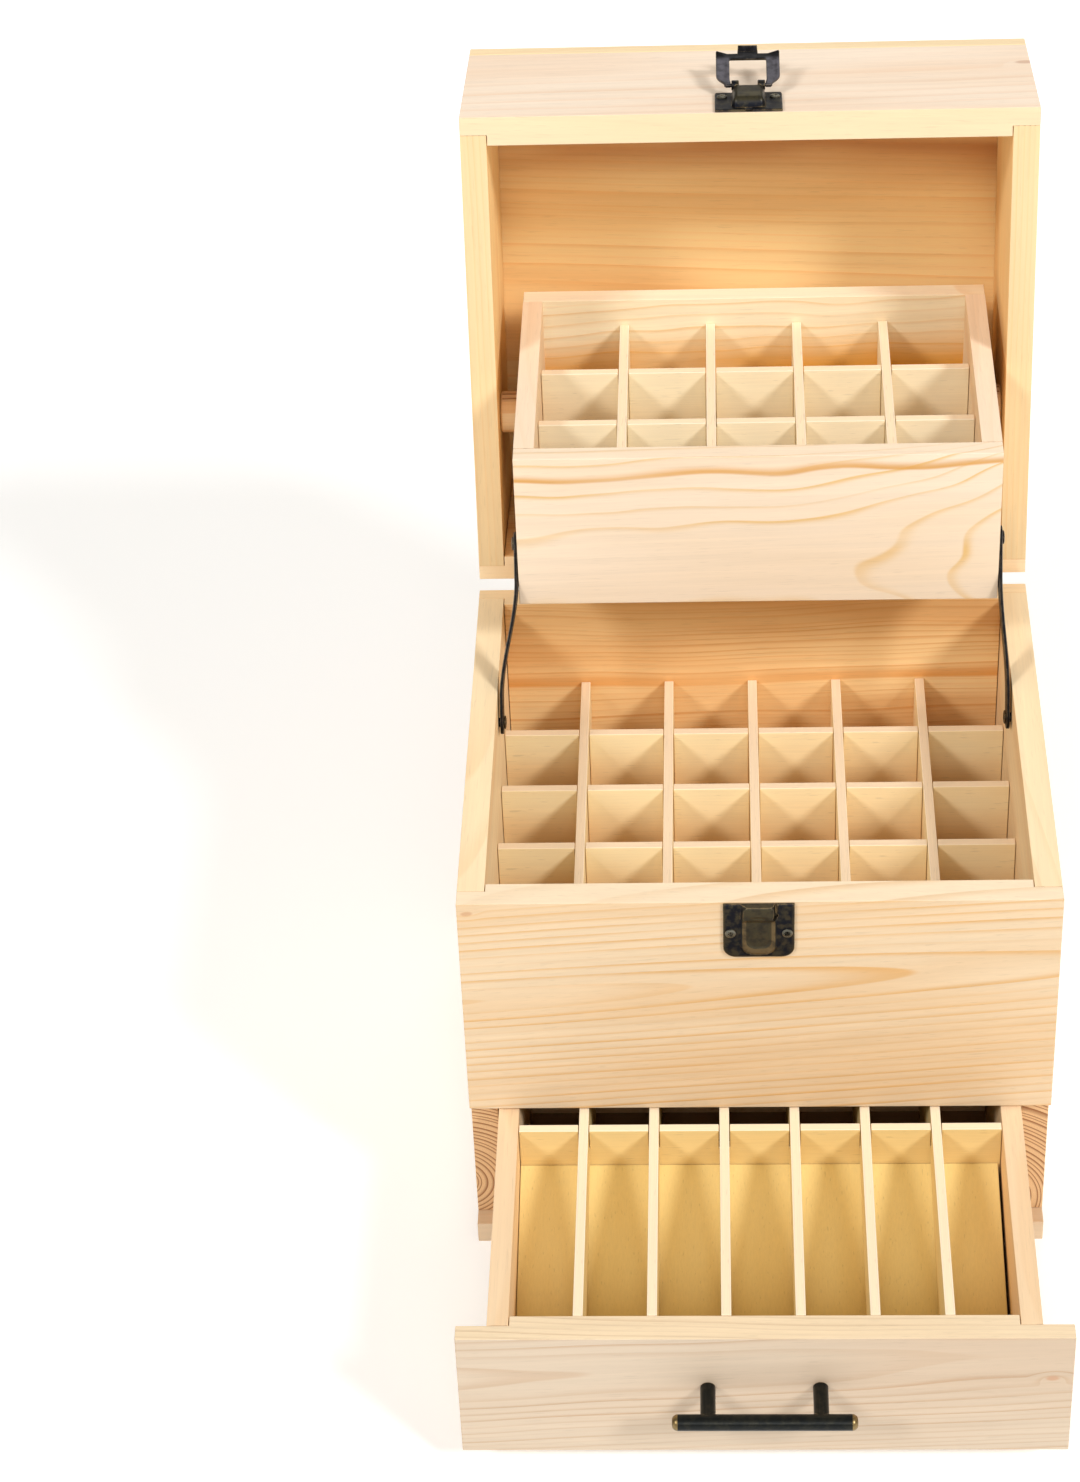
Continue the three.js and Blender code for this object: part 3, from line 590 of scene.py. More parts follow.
def welded(*solids):
    """Overlapping solids joined into one skin."""
    things = []
    for solid in solids:
        mesh = bpy.data.meshes.new("blank")
        solid.to_mesh(mesh)
        solid.free()
        things.append(bpy.data.objects.new("blank", mesh))
        bpy.context.scene.collection.objects.link(things[-1])
    for other in things[1:]:
        weld = things[0].modifiers.new("weld", "BOOLEAN")
        weld.operation = "UNION"
        weld.solver = "EXACT"
        weld.object = other
    whole = things[0].evaluated_get(bpy.context.evaluated_depsgraph_get())
    skin = bmesh.new()
    skin.from_mesh(whole.to_mesh())
    for thing in things:
        bpy.data.objects.remove(thing)
    return skin


CREASE = math.radians(32)


def smoothed(piece):
    """Smooths a piece's skin, all but its creases."""
    piece.data.shade_smooth()
    piece.data.set_sharp_from_angle(angle=CREASE)


def mirrored(solid, axis):
    """Turns a solid into its mirror image."""
    solid.transform(Matrix.Scale(-1, 4, axis))
    bmesh.ops.reverse_faces(solid, faces=solid.faces)


def metal_piece(name, solid, place, body, *nodes, finish=None):
    """A metal solid, shaped in its own frame, put in its place and given a smooth skin."""
    solid.transform(place)
    smoothed(fixed(name, solid, finish or dark_bronze, body, "bronze", *nodes))


def at(x, y, z):
    """A place in mm."""
    return Matrix.Translation(Vector((x, y, z)) * MM)


def box_mm(node):
    """The low and the high corner of a node's box, in mm."""
    return [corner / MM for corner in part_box(node)]


def turn(axis, degrees):
    """A turn about an axis through the piece's own origin."""
    return Matrix.Rotation(math.radians(degrees), 4, axis)


SHEET, SHEET_BRIM, SHEET_ROUNDING = 1.0, 0.7, 0.5
SCREW_RADIUS, SCREW_RISE, SCREW_CROSS, SCREW_SUNK = 2.1, 0.75, 1.15, 0.05
DOME_STEPS = 14
OUT_FRONT = turn("X", 90)      # a turned piece's +Z now looks out along -Y


def sheet_front(depth):
    """The front of flat sheet, rounded off towards its cut edge."""
    return SHEET_BRIM + (SHEET - SHEET_BRIM) * ramp(depth, 0.0, SHEET_ROUNDING)


def cross_recess(size, depth):
    """The cross that the driver fits, sunk into a screw's head."""
    def bar(across, along):
        return min(ramp(abs(across), 0.42 * size, 0.2 * size), ramp(abs(along), size, 0.8 * size))

    return lambda x, y: depth * max(bar(x, y), bar(y, x))


def dome(radius, rise, brim, roundness):
    """The points of a low round head, from its crown to its brim."""
    shares = [i / DOME_STEPS for i in range(DOME_STEPS + 1)]
    return [
        (radius * share, rise * (brim + (1 - brim) * math.sqrt(1 - roundness * share ** 2)))
        for share in shares
    ]


def screw_head(rise):
    """A round head with a flat back, standing on the plate that it holds, its ring worn lighter."""
    profile = dome(SCREW_RADIUS, rise, 0.35, 0.9) + [(SCREW_RADIUS, 0.0), (0, 0.0)]
    head = turned(profile, 48, cross_recess(SCREW_CROSS, 0.8 * rise))
    ring = head.verts.layers.float.new("handled")
    for vertex in head.verts:
        share = vertex.co.xy.length / (SCREW_RADIUS * MM)
        vertex[ring] = 0.8 * ramp(share, 0.48, 0.66)
    return head


dark_bronze = bronze("dark_bronze", (0.011, 0.013, 0.021), (0.086, 0.074, 0.042), (0.34, 0.24, 0.12))
screw_bronze = bronze(
    "screw_bronze", (0.003, 0.003, 0.003), (0.250, 0.245, 0.200), (0.36, 0.31, 0.22), cloudy=0.05
)
SIDES = ((-1, "left"), (1, "right"))


def plate_screws(plate, place, x, z, body, rise=SCREW_RISE):
    """Two screws through a plate's wings, level with each other."""
    for side, word in SIDES:
        spot = place @ at(x * side, SCREW_SUNK - SHEET, z) @ OUT_FRONT
        metal_piece(f"{plate}_screw_{word}", screw_head(rise), spot, body, finish=screw_bronze)


catch_low, catch_high = box_mm("catch_plate")
CATCH_HALF, PLATE_Y, CATCH_Z = catch_high
CATCH_LOW = catch_low.z - CATCH_Z
CATCH_SCREW_X, CATCH_SCREW_Z, CATCH_CORNER, CATCH_TOP_CORNER = 11.3, -14.8, 5.0, 0.4
TONGUE = {"half": 7.3, "low": -26.0, "high": 1.5, "corner": 5.0}
TONGUE_FIELD = {"half": 4.9, "low": -22.0, "high": -4.5, "corner": 3.6}
TONGUE_RISE, FIELD_DIP, HUMP_RISE = 1.1, 0.15, 1.3
HUMP_LOW, HUMP_HIGH, HUMP_FLAT_HALF = -8.4, -6.4, 6.0
SLIT_X, SLIT_END, SLIT_HALF, SLIT_FLOOR, SLIT_HOLE_RADIUS = 6.7, -5.6, 0.45, 0.15, 0.8


def catch_front(x, z):
    corner = CATCH_CORNER if z < CATCH_LOW / 2 else CATCH_TOP_CORNER
    sheet = sheet_front(depth_in(x, z, CATCH_HALF, CATCH_LOW, 0.0, corner))
    tongue = ramp(depth_in(x, z, **TONGUE), 0.0, 0.9)
    hump = ramp(z, HUMP_LOW, HUMP_HIGH) * ramp(abs(x), TONGUE["half"], HUMP_FLAT_HALF)
    field = ramp(depth_in(x, z, **TONGUE_FIELD), 0.0, 0.7)
    slit = ramp(abs(x - SLIT_X), SLIT_HALF + 0.2, SLIT_HALF) if z > SLIT_END else 0.0
    from_hole = math.hypot(x - SLIT_X, z - SLIT_END)
    hole = ramp(from_hole, SLIT_HOLE_RADIUS + 0.2, SLIT_HOLE_RADIUS)
    rise = sheet + TONGUE_RISE * tongue + HUMP_RISE * hump - FIELD_DIP * field
    return rise + (SLIT_FLOOR - rise) * max(slit, hole)


def catch_handled(x, z):
    """How worn it is: the tongue and the rims are rubbed brown, the tongue's border nearly to brass."""
    tongue = ramp(depth_in(x, z, **TONGUE), 0.2, 0.8)
    strips = tongue * ramp(depth_in(x, z, **TONGUE_FIELD), 0.6, -0.4) * ramp(z, -5.0, -8.0)
    rims = ramp(depth_in(x, z, CATCH_HALF, CATCH_LOW, 8.0, CATCH_CORNER), 1.6, 0.2)
    return max(0.8 * tongue + 0.12 * strips, 0.8 * rims)


CATCH_PLACE = at(0, PLATE_Y, CATCH_Z)
catch = stamped(
    CATCH_HALF, CATCH_LOW, 0.0, (CATCH_CORNER, CATCH_TOP_CORNER), catch_front,
    handled=catch_handled, columns=96, rows=64,
)
metal_piece("catch_plate_metal", catch, CATCH_PLACE, "base", "catch_plate")
plate_screws("catch", CATCH_PLACE, CATCH_SCREW_X, CATCH_SCREW_Z, "base")


# Two steel butt hinges carry the lid, each bent from flat sheet: the base leaf has the outer
# knuckles and the pin, the lid leaf the middle knuckle. Each leaf is held by two screws.

def joint(name):
    """The frame's entry for a joint."""
    return next(entry for entry in frame["joints"] if entry["name"] == name)


# The lid rests open: lid_closed carries a point on it to where it lies when shut, lid_opened back.
lid_hinge = joint("lid_hinge")
HINGE_LINE = Matrix.Translation(Vector(lid_hinge["pos_m"]))
SWING_SHUT = turn("X", lid_hinge["range_deg"][1])
lid_closed = HINGE_LINE @ SWING_SHUT @ HINGE_LINE.inverted()
lid_opened = lid_closed.inverted()
leaf_low, leaf_high = box_mm("hinge_base_leaf_right")
HINGE_X = (leaf_low.x + leaf_high.x) / 2
HINGE_SCREW_X, HINGE_SCREW_Z, HINGE_SCREW_RISE = 9.0, 13.0, 0.5
LEAF_HALF, LEAF_REACH, LEAF_BACK, LEAF_CORNERS = 15.0, 22.8, 2.8, (2.0, 0.3)
KNUCKLE_RADIUS, KNUCKLE_END, KNUCKLE_SOFT, KNUCKLE_CLEARANCE, KNUCKLE_GAP = 2.5, 4.85, 0.25, 0.4, 0.3
NECK_LAP, NECK_CORNERS = 2.0, (0.1, 0.1)
PIN_RADIUS, PIN_PROUD = 1.3, 0.2


def knuckle(x0, x1, radius=KNUCKLE_RADIUS):
    """A rolled barrel along X, its rims softened."""
    face = radius - KNUCKLE_SOFT
    profile = [
        (0, x0), (face, x0), (radius, x0 + KNUCKLE_SOFT),
        (radius, x1 - KNUCKLE_SOFT), (face, x1), (0, x1),
    ]
    barrel = turned(profile, 40)
    barrel.transform(turn("Y", 90))
    return barrel


def hinge_leaf(spans):
    """A leaf below the pin, facing +Y: a sheet with a neck and a rolled knuckle on each span."""
    def flat_front(x, z):
        return SHEET

    clear = KNUCKLE_RADIUS + KNUCKLE_CLEARANCE
    sheet = stamped(LEAF_HALF, -LEAF_REACH, -clear, LEAF_CORNERS, flat_front, columns=30, rows=12)
    sheet.transform(turn("Z", 180))
    parts = [sheet]
    for x0, x1 in spans:
        neck_low = -clear - NECK_LAP
        neck = stamped((x1 - x0) / 2, neck_low, 0, NECK_CORNERS, flat_front, columns=6, rows=4)
        neck.transform(at((x0 + x1) / 2, 0, 0) @ turn("Z", 180))
        roll = knuckle(x0, x1)
        roll.transform(at(0, LEAF_BACK, 0))
        parts += [neck, roll]
    return parts


for side, word in SIDES:
    centre = HINGE_LINE @ at(HINGE_X * side, -LEAF_BACK, 0)
    outer = [(-LEAF_HALF, -KNUCKLE_END - KNUCKLE_GAP), (KNUCKLE_END + KNUCKLE_GAP, LEAF_HALF)]
    pin = knuckle(-LEAF_HALF - PIN_PROUD, LEAF_HALF + PIN_PROUD, PIN_RADIUS)
    pin.transform(at(0, LEAF_BACK, 0))
    base_leaf = welded(*hinge_leaf(outer), pin)
    metal_piece(f"hinge_base_leaf_{word}_metal", base_leaf, centre, "base", f"hinge_base_leaf_{word}")
    lid_leaf = welded(*hinge_leaf([(-KNUCKLE_END, KNUCKLE_END)]))
    mirrored(lid_leaf, (0, 0, 1))
    raised = lid_opened @ centre
    metal_piece(f"hinge_lid_leaf_{word}_metal", lid_leaf, raised, "lid", f"hinge_lid_leaf_{word}")
    for body, place, z in (("base", centre, -HINGE_SCREW_Z), ("lid", raised, HINGE_SCREW_Z)):
        for number, x in enumerate((-HINGE_SCREW_X, HINGE_SCREW_X), 1):
            spot = place @ at(x, SHEET - SCREW_SUNK, z) @ turn("X", -90)
            name = f"hinge_{body}_screw_{word}_{number}"
            metal_piece(name, screw_head(HINGE_SCREW_RISE), spot, body, finish=screw_bronze)


# The lid is a shallow box of four boards under one wide top panel, glued and sanded flush. It was
# made shut on the base, so each board's grain is laid out in that position.

# The lid front's very pale colour is partly the board's own tone and partly painted light, for the top
# light that falls on it while the lid stands open.
lid_front_pine = pine(
    "lid_front_pine", colour(252, 234, 214), colour(238, 198, 160), ring=0.0075, lines=0.45,
    wander=0.003, swirl=(8, 20), patches=0.3, uneven=1.0, rim=colour(229, 207, 166),
    knots=[(0.118, -0.0165, 0.0026)],
)
lid_wall_pine = pine(
    "lid_wall_pine", colour(254, 220, 160), colour(236, 178, 106), ring=0.0024, lines=0.5,
    wander=0.002, rim=colour(230, 204, 160),
)
# The lid panel's darker band at the top of its inner face is painted shade, where the lid's front board
# overhangs it, drawn like a ring of resin colour and kept to the inner face.
lid_panel_pine = pine(
    "lid_panel_pine", colour(255, 220, 158), colour(236, 168, 88), ring=0.0030, lines=0.42,
    wander=0.003, swirl=(4, 14), patches=0.4, stain_and_shade_ring=(0.0985, -0.020), stain_and_shade_tint=colour(194, 130, 70),
    stain_and_shade_depth=(-0.041, -0.048),
)
for node, finish, along, pith, lean, seed in (
    ("lid_front", lid_front_pine, ALONG_X, (0.03, 0.03), (0.02, 0.03), 20),
    ("lid_back", back_pine, ALONG_X, (0.01, 0.1), (0.0, 0.0), 21),
    ("lid_side_left", lid_wall_pine, ALONG_Y, (0.02, -0.03), (0.0, 0.02), 22),
    ("lid_side_right", lid_wall_pine, ALONG_Y, (-0.02, -0.04), (0.0, -0.02), 23),
    ("lid_top_panel", lid_panel_pine, ALONG_X, (0.02, 0.045), (0.03, 0.01), 24),
):
    board(node, "lid", finish, along, pith, lean, seed, closed=lid_closed)


# The latch's foot plate is one pressing on the lid's front, with a domed box that hides its
# spring and two curls that the frame's pegs turn in. Two screws hold it through its wings.

LATCH_Z = lid_hinge["pos_m"][2] / MM      # the shut lid's lower edge is level with its hinges
LATCH_SCREW_X, LATCH_SCREW_Z, LATCH_SCREW_RISE = 11.0, 15.5, 1.1
LATCH_PLACE = lid_opened @ at(0, PLATE_Y, LATCH_Z)
LATCH_HALF, LATCH_LOW, LATCH_HIGH = 14.0, 0.5, 22.0
BOX_HALF, BOX_LOW, BOX_CORNER, BOX_RISE = 7.0, 3.0, 2.4, 4.95
BOX_ROUNDING, BOX_FOOT_SHARE, BOX_SLOPE_END = 2.6, 0.75, 9.0
NOTCH_HALF, NOTCH_TOP, NOTCH_SLOPE, NOTCH_DEPTH_SHARE = 1.3, 2.0, 0.6, 0.85
GROOVE_HALF, GROOVE_LOW, GROOVE_HIGH, GROOVE_DEPTH_SHARE = 3.4, 16.4, 17.2, 0.4
CURL_IN, CURL_RADIUS, CURL_RISE, CURL_Z = 3.9, 2.1, 5.0, 19.0


def latch_front(x, z):
    sheet = sheet_front(depth_in(x, z, LATCH_HALF, LATCH_LOW, LATCH_HIGH, 1.0))
    notch = ramp(abs(x), NOTCH_HALF + NOTCH_SLOPE, NOTCH_HALF)
    notch *= NOTCH_DEPTH_SHARE * ramp(z, NOTCH_TOP + NOTCH_SLOPE, NOTCH_TOP)
    depth = depth_in(x, z, BOX_HALF, BOX_LOW, CURL_Z + 1.0, BOX_CORNER)
    inside = min(max(depth / BOX_ROUNDING, 0.0), 1.0)
    slope = BOX_FOOT_SHARE + (1 - BOX_FOOT_SHARE) * ramp(z, BOX_LOW, BOX_SLOPE_END)
    swell = BOX_RISE * slope * math.sqrt(1 - (1 - inside) ** 2)
    groove = GROOVE_DEPTH_SHARE * ramp(abs(x), CURL_IN, GROOVE_HALF) * ramp(z, GROOVE_LOW, GROOVE_HIGH)
    return sheet * (1 - notch) + swell * (1 - groove)


def latch_handled(x, z):
    """The domed box is rubbed brown all over."""
    return 0.83 * ramp(depth_in(x, z, BOX_HALF, BOX_LOW, CURL_Z, BOX_CORNER), 0.0, 1.2)


foot = stamped(
    LATCH_HALF, LATCH_LOW, LATCH_HIGH, (0.5, 2.1), latch_front, handled=latch_handled,
    columns=96, rows=60,
)
curls = [knuckle(-BOX_HALF, -CURL_IN, CURL_RADIUS), knuckle(CURL_IN, BOX_HALF, CURL_RADIUS)]
for curl in curls:
    curl.transform(at(0, -CURL_RISE, CURL_Z))
metal_piece("latch_plate_metal", welded(foot, *curls), LATCH_PLACE, "lid", "latch_plate")
plate_screws("latch", LATCH_PLACE, LATCH_SCREW_X, LATCH_SCREW_Z, "lid", LATCH_SCREW_RISE)


# The latch's frame is a flat loop cut from sheet. Its ears turn on pegs in the curls, its far
# corners are turned up, and a small hook in the middle of its bar catches the tongue.

FRAME_LEAN = 12      # degrees off the lid's front
FRAME_PLACE = lid_opened @ at(0, PLATE_Y - CURL_RISE, LATCH_Z + CURL_Z) @ turn("X", FRAME_LEAN)
EAR_IN, EAR_OUT, LEG_IN, LEG_OUT = 7.3, 10.0, 7.7, 13.35
BAR_IN, BAR_OUT, TAB_HALF, TAB_END = 20.4, 25.0, 4.0, 28.4
PEG_RADIUS, PEG_IN, PEG_OUT = 0.8, 4.3, EAR_OUT - 0.6
CORNER_LIFT, HOOK_LIFT, LEG_DISH, LEG_MIDDLE, SHEET_SOFT = 1.5, 2.0, 0.35, 10.5, 0.2
frame_bronze = bronze(
    "frame_bronze", (0.006, 0.006, 0.007), (0.140, 0.134, 0.162), (0.24, 0.19, 0.12),
    rough=0.42, cloudy=0.15,
)
frame_stations = [
    ((EAR_IN, -1.0), (EAR_OUT - 0.5, -1.0)), ((EAR_IN, -0.4), (EAR_OUT, -0.4)),
    ((EAR_IN, 0.6), (EAR_OUT, 0.9)), ((EAR_IN, 1.9), (10.9, 2.2)),
    ((7.45, 2.9), (11.9, 3.4)), ((7.65, 3.6), (12.7, 4.9)),
    ((LEG_IN, 4.6), (13.2, 6.4)), ((LEG_IN, 6.4), (LEG_OUT, 8.2)),
    ((LEG_IN, 10.0), (LEG_OUT, 11.5)), ((LEG_IN, 14.0), (LEG_OUT, 15.5)),
    ((LEG_IN, 18.0), (LEG_OUT, 20.0)), ((LEG_IN, 19.8), (LEG_OUT, 22.6)),
    ((7.55, 20.2), (LEG_OUT, 24.2)), ((7.2, BAR_IN), (13.0, BAR_OUT)),
    ((6.4, BAR_IN), (11.0, BAR_OUT)), ((5.6, BAR_IN), (8.6, BAR_OUT)),
    ((4.8, BAR_IN), (6.2, BAR_OUT)), ((TAB_HALF, BAR_IN), (4.3, BAR_OUT)),
    ((3.9, BAR_IN), (TAB_HALF, TAB_END)), ((2.6, BAR_IN), (2.6, TAB_END)),
    ((1.2, BAR_IN), (1.2, TAB_END)),
]


def frame_lift(x, z):
    """How far the sheet's middle stands off its plane, towards the catch."""
    corner = CORNER_LIFT * ramp(abs(x), 8.5, 13.2) * ramp(z, 21.0, BAR_OUT)
    hook = HOOK_LIFT * ramp(abs(x), TAB_HALF + 0.3, TAB_HALF) * ramp(z, 26.6, TAB_END)
    across_leg = ramp(abs(abs(x) - LEG_MIDDLE), 2.8, 0.6)
    leg = LEG_DISH * across_leg * ramp(z, 3.0, 7.0) * ramp(z, 22.0, 19.0)
    return corner + hook - leg


def sheet_loop(stations, lift, thickness, across=8):
    """A loop of sheet between inner and outer points, in mm, in x and z."""
    solid = bmesh.new()
    rows = []
    for inner, outer in stations:
        top, bottom = [], []
        for i in range(across + 1):
            x, z = (a + (b - a) * i / across for a, b in zip(inner, outer))
            half = thickness / 2 - (SHEET_SOFT if i in (0, across) else 0.0)
            top.append(solid.verts.new((x * MM, (lift(x, z) + half) * MM, z * MM)))
            bottom.append(solid.verts.new((x * MM, (lift(x, z) - half) * MM, z * MM)))
        rows.append(top + bottom[::-1])
    for first, second in zip(rows, rows[1:]):
        for i in range(len(first)):
            solid.faces.new((first[i - 1], second[i - 1], second[i], first[i]))
    solid.faces.new(rows[0])
    solid.faces.new(rows[-1])
    bmesh.ops.recalc_face_normals(solid, faces=solid.faces)
    return solid


half_loop = frame_stations + [((0.0, BAR_IN), (0.0, TAB_END))]
other_half = [tuple((-x, z) for x, z in pair) for pair in reversed(frame_stations)]
loop = sheet_loop(half_loop + other_half, frame_lift, SHEET)
pegs = [knuckle(PEG_IN, PEG_OUT, PEG_RADIUS), knuckle(-PEG_OUT, -PEG_IN, PEG_RADIUS)]
latch_loop = welded(loop, *pegs)
worn_legs = latch_loop.verts.layers.float.new("handled")
for vertex in latch_loop.verts:
    x, z = abs(vertex.co.x) / MM, vertex.co.z / MM
    vertex[worn_legs] = 0.8 * ramp(x, 6.5, 8.0) * ramp(z, 23.0, 20.0)
mirrored(latch_loop, (0, 1, 0))
metal_piece("latch_bail_metal", latch_loop, FRAME_PLACE, "latch_frame", "latch_bail", finish=frame_bronze)


# The tray hangs inside the lid on two turned beech spacers, each with a pin into the lid's wall
# and one into the tray. Its walls are pine, its floor and its grid of dividers plywood.

beech = pine("beech", colour(246, 208, 156), colour(222, 172, 118), ring=0.003, lines=0.3)
pivot_line = Matrix.Translation(Vector((0, *joint("tray_pivot")["pos_m"][1:]))) @ turn("Y", 90)
SPACER_RADIUS, SPACER_CHAMFER, PIVOT_PIN_RADIUS, SEAM = 9.0, 0.7, 2.0, 0.3
LID_FACE = box_mm("lid_side_right")[0].x - SEAM
TRAY_FACE = {
    "left": SEAM - box_mm("tray_side_left")[0].x,
    "right": SEAM + box_mm("tray_side_right")[1].x,
}
for side, word in SIDES:
    node = f"tray_pivot_{word}"
    pin_low, pin_high = (corner.x for corner in box_mm(node))
    body_low, body_high = sorted((side * LID_FACE, side * TRAY_FACE[word]))
    solid = turned([
        (0, pin_low), (PIVOT_PIN_RADIUS, pin_low), (PIVOT_PIN_RADIUS, body_low),
        (SPACER_RADIUS - SPACER_CHAMFER, body_low), (SPACER_RADIUS, body_low + SPACER_CHAMFER),
        (SPACER_RADIUS, body_high - SPACER_CHAMFER), (SPACER_RADIUS - SPACER_CHAMFER, body_high),
        (PIVOT_PIN_RADIUS, body_high), (PIVOT_PIN_RADIUS, pin_high), (0, pin_high),
    ], 64)
    solid.transform(pivot_line)
    laid_grain(solid, ALONG_X, pith=(0.02, 0.02), lean=(0, 0), seed=30)
    smoothed(fixed(node + "_wood", solid, beech, "lid", "beech", node))

tray_front_pine = pine(
    "tray_front_pine", colour(237, 217, 193), colour(221, 177, 100), ring=0.0044, lines=0.8,
    wander=0.0030, swirl=(16, 34), patches=0.12, uneven=1.6, crook=(0.008, 1.5),
    rim=colour(250, 232, 208), faint=0.5, onset=0.66, stain_and_shade_ring=(0.0912, 0.0020),
    stain_and_shade_tint=colour(212, 156, 82),
)
tray_back_pine = pine(
    "tray_back_pine", colour(255, 243, 212), colour(238, 184, 108), ring=0.0052, lines=0.55,
    wander=0.006, swirl=(16, 30), patches=0.3, uneven=0.8, rim=colour(255, 240, 214), onset=0.55,
    stain_and_shade_ring=(0.061, 0.024), stain_and_shade_tint=colour(238, 162, 24),
)
tray_wall_pine = pine(
    "tray_wall_pine", colour(252, 228, 194), colour(230, 184, 132), ring=0.003, lines=0.5,
    rim=colour(250, 230, 206),
)
for node, finish, along, pith, lean, seed in (
    ("tray_front", tray_front_pine, ALONG_X, (-0.082, -0.019), (0.0, 0.03), 31),
    ("tray_back", tray_back_pine, ALONG_X, (0.012, -0.06), (-0.02, 0.02), 32),
    ("tray_side_left", tray_wall_pine, ALONG_Y, (0.02, -0.03), (0.0, 0.02), 33),
    ("tray_side_right", tray_wall_pine, ALONG_Y, (-0.02, -0.03), (0.0, 0.02), 34),
):
    board(node, "tray", finish, along, pith, lean, seed)
# The tray's faces carry a little painted shade low in its cells.
tray_ply = plywood("tray_ply", colour(254, 240, 206), colour(250, 226, 188), painted_shade=0.2)
strip("tray_floor", "tray", tray_ply, ALONG_X, ALONG_Z, seed=35)
dividers("tray_divider_long", "tray", tray_ply, 4, ALONG_Y, ALONG_X, seed=35)
dividers("tray_divider_cross", "tray", tray_ply, 2, ALONG_X, ALONG_Y, seed=40)


# Two stepped strap arms keep the tray level. Each is cut from dark steel strip and turns on a
# screw in the base's side wall and on one in the tray's side, both with round heads.

arm_steel = bronze(
    "arm_steel", (0.014, 0.014, 0.017), (0.030, 0.027, 0.024), (0.20, 0.16, 0.11), rough=0.42
)
ARM_FOOT = Vector((0, *joint("left_arm_pivot")["pos_m"][1:])) / MM
screw_low, screw_high = box_mm("arm_tray_screw_left")
ARM_HEAD = Vector((0, *((screw_low + screw_high) / 2).yz))
ARM_LENGTH = (ARM_HEAD - ARM_FOOT).length
ARM_LEAN = math.degrees(math.atan2(ARM_HEAD.y - ARM_FOOT.y, ARM_HEAD.z - ARM_FOOT.z))
ARM_HALF, ARM_SHEET, ARM_STANDOFF = 5.0, 1.5, 0.8
ARM_WALL_FACE = box_mm("base_side_right")[0].x - ARM_STANDOFF - ARM_SHEET
ARM_BEND, ARM_SOFT, ARM_SOFT_REACH = (10.0, 62.0), 0.2, 0.3
ARM_SCREW_RADIUS, ARM_SCREW_RISE, ARM_SCREW_SOFT = 2.9, 0.8, 0.1
ARM_PIN_RADIUS, ARM_HEAD_ROOM = 2.0, 1.3
ARM_CROSS, ARM_CROSS_DEPTH, ARM_CROSS_REACH = 1.6, 0.5, 1.9


def strap(low_face, high_face):
    """An arm laid flat: it steps over from the wall's face to the tray's side, its edges softened."""
    def inner(z):
        return low_face + (high_face - low_face) * ramp(z, *ARM_BEND)

    def softened(x, z):
        depth = depth_in(x, z, ARM_HALF, -ARM_HALF, ARM_LENGTH + ARM_HALF, ARM_HALF - 0.1)
        return ARM_SOFT * ramp(depth, ARM_SOFT_REACH, 0.0)

    return stamped(
        ARM_HALF, -ARM_HALF, ARM_LENGTH + ARM_HALF, (ARM_HALF, ARM_HALF),
        front=lambda x, z: inner(z) + ARM_SHEET - softened(x, z),
        back=lambda x, z: inner(z) + softened(x, z), columns=12, rows=70,
    )


def arm_screw(node, body, pivot, facing):
    """A round-headed screw in place of its node, its head at the end that looks along X or back."""
    low, high = (corner.x for corner in box_mm(node))
    shank = high - low - ARM_HEAD_ROOM
    profile = dome(ARM_SCREW_RADIUS, ARM_SCREW_RISE, 0.3, 0.92)
    profile += [(ARM_SCREW_RADIUS, ARM_SCREW_SOFT), (ARM_SCREW_RADIUS - ARM_SCREW_SOFT, 0)]
    profile += [(ARM_PIN_RADIUS, 0), (ARM_PIN_RADIUS, -shank), (0, -shank)]
    cross = cross_recess(ARM_CROSS, ARM_CROSS_DEPTH)
    screw = turned(profile, 48, lambda x, y: cross(x, y) if math.hypot(x, y) < ARM_CROSS_REACH else 0.0)
    head_back = (high if facing > 0 else low) - ARM_HEAD_ROOM * facing
    place = at(head_back, pivot.y, pivot.z) @ turn("Y", 90 * facing)
    metal_piece(f"{node}_metal", screw, place, body, node)


for side, word in SIDES:
    place = at(*ARM_FOOT) @ turn("X", -ARM_LEAN) @ turn("Z", 90 * side)
    arm = strap(ARM_WALL_FACE, TRAY_FACE[word])
    metal_piece(f"arm_{word}_metal", arm, place, f"{word}_arm", f"arm_{word}", finish=arm_steel)
    arm_screw(f"arm_base_screw_{word}", "base", ARM_FOOT, -side)
    arm_screw(f"arm_tray_screw_{word}", "tray", ARM_HEAD, side)


# The drawer is four pine boards, its front lapped like the base's front. A plywood floor slopes up
# to the front so that short bottles lie forward, under seven channels between plywood dividers.

drawer_front_pine = pine(
    "drawer_front_pine", colour(204, 186, 164), colour(178, 142, 108), ring=0.0023, lines=0.7,
    wander=0.002, swirl=(9, 30), patches=0.25, uneven=1.2, rim=colour(245, 223, 188),
    knots=[(0.112, -0.0121, 0.0016)],
)
drawer_wall_pine = pine(
    "drawer_wall_pine", colour(249, 220, 180), colour(226, 180, 124), ring=0.0028, lines=0.5,
    rim=colour(240, 212, 176),
)
for node, finish, along, pith, lean, seed in (
    ("drawer_front", drawer_front_pine, ALONG_X, (0.022, 0.016), (0.012, 0.05), 50),
    ("drawer_back", drawer_wall_pine, ALONG_X, (0.02, 0.03), (0, 0), 51),
    ("drawer_side_left", drawer_wall_pine, ALONG_Y, (0.0, -0.06), (0.01, 0.0), 52),
    ("drawer_side_right", drawer_wall_pine, ALONG_Y, (0.01, -0.06), (-0.01, 0.0), 53),
):
    board(node, "drawer", finish, along, pith, lean, seed)
drawer_ply = plywood("drawer_ply", colour(251, 228, 160), colour(238, 206, 126))
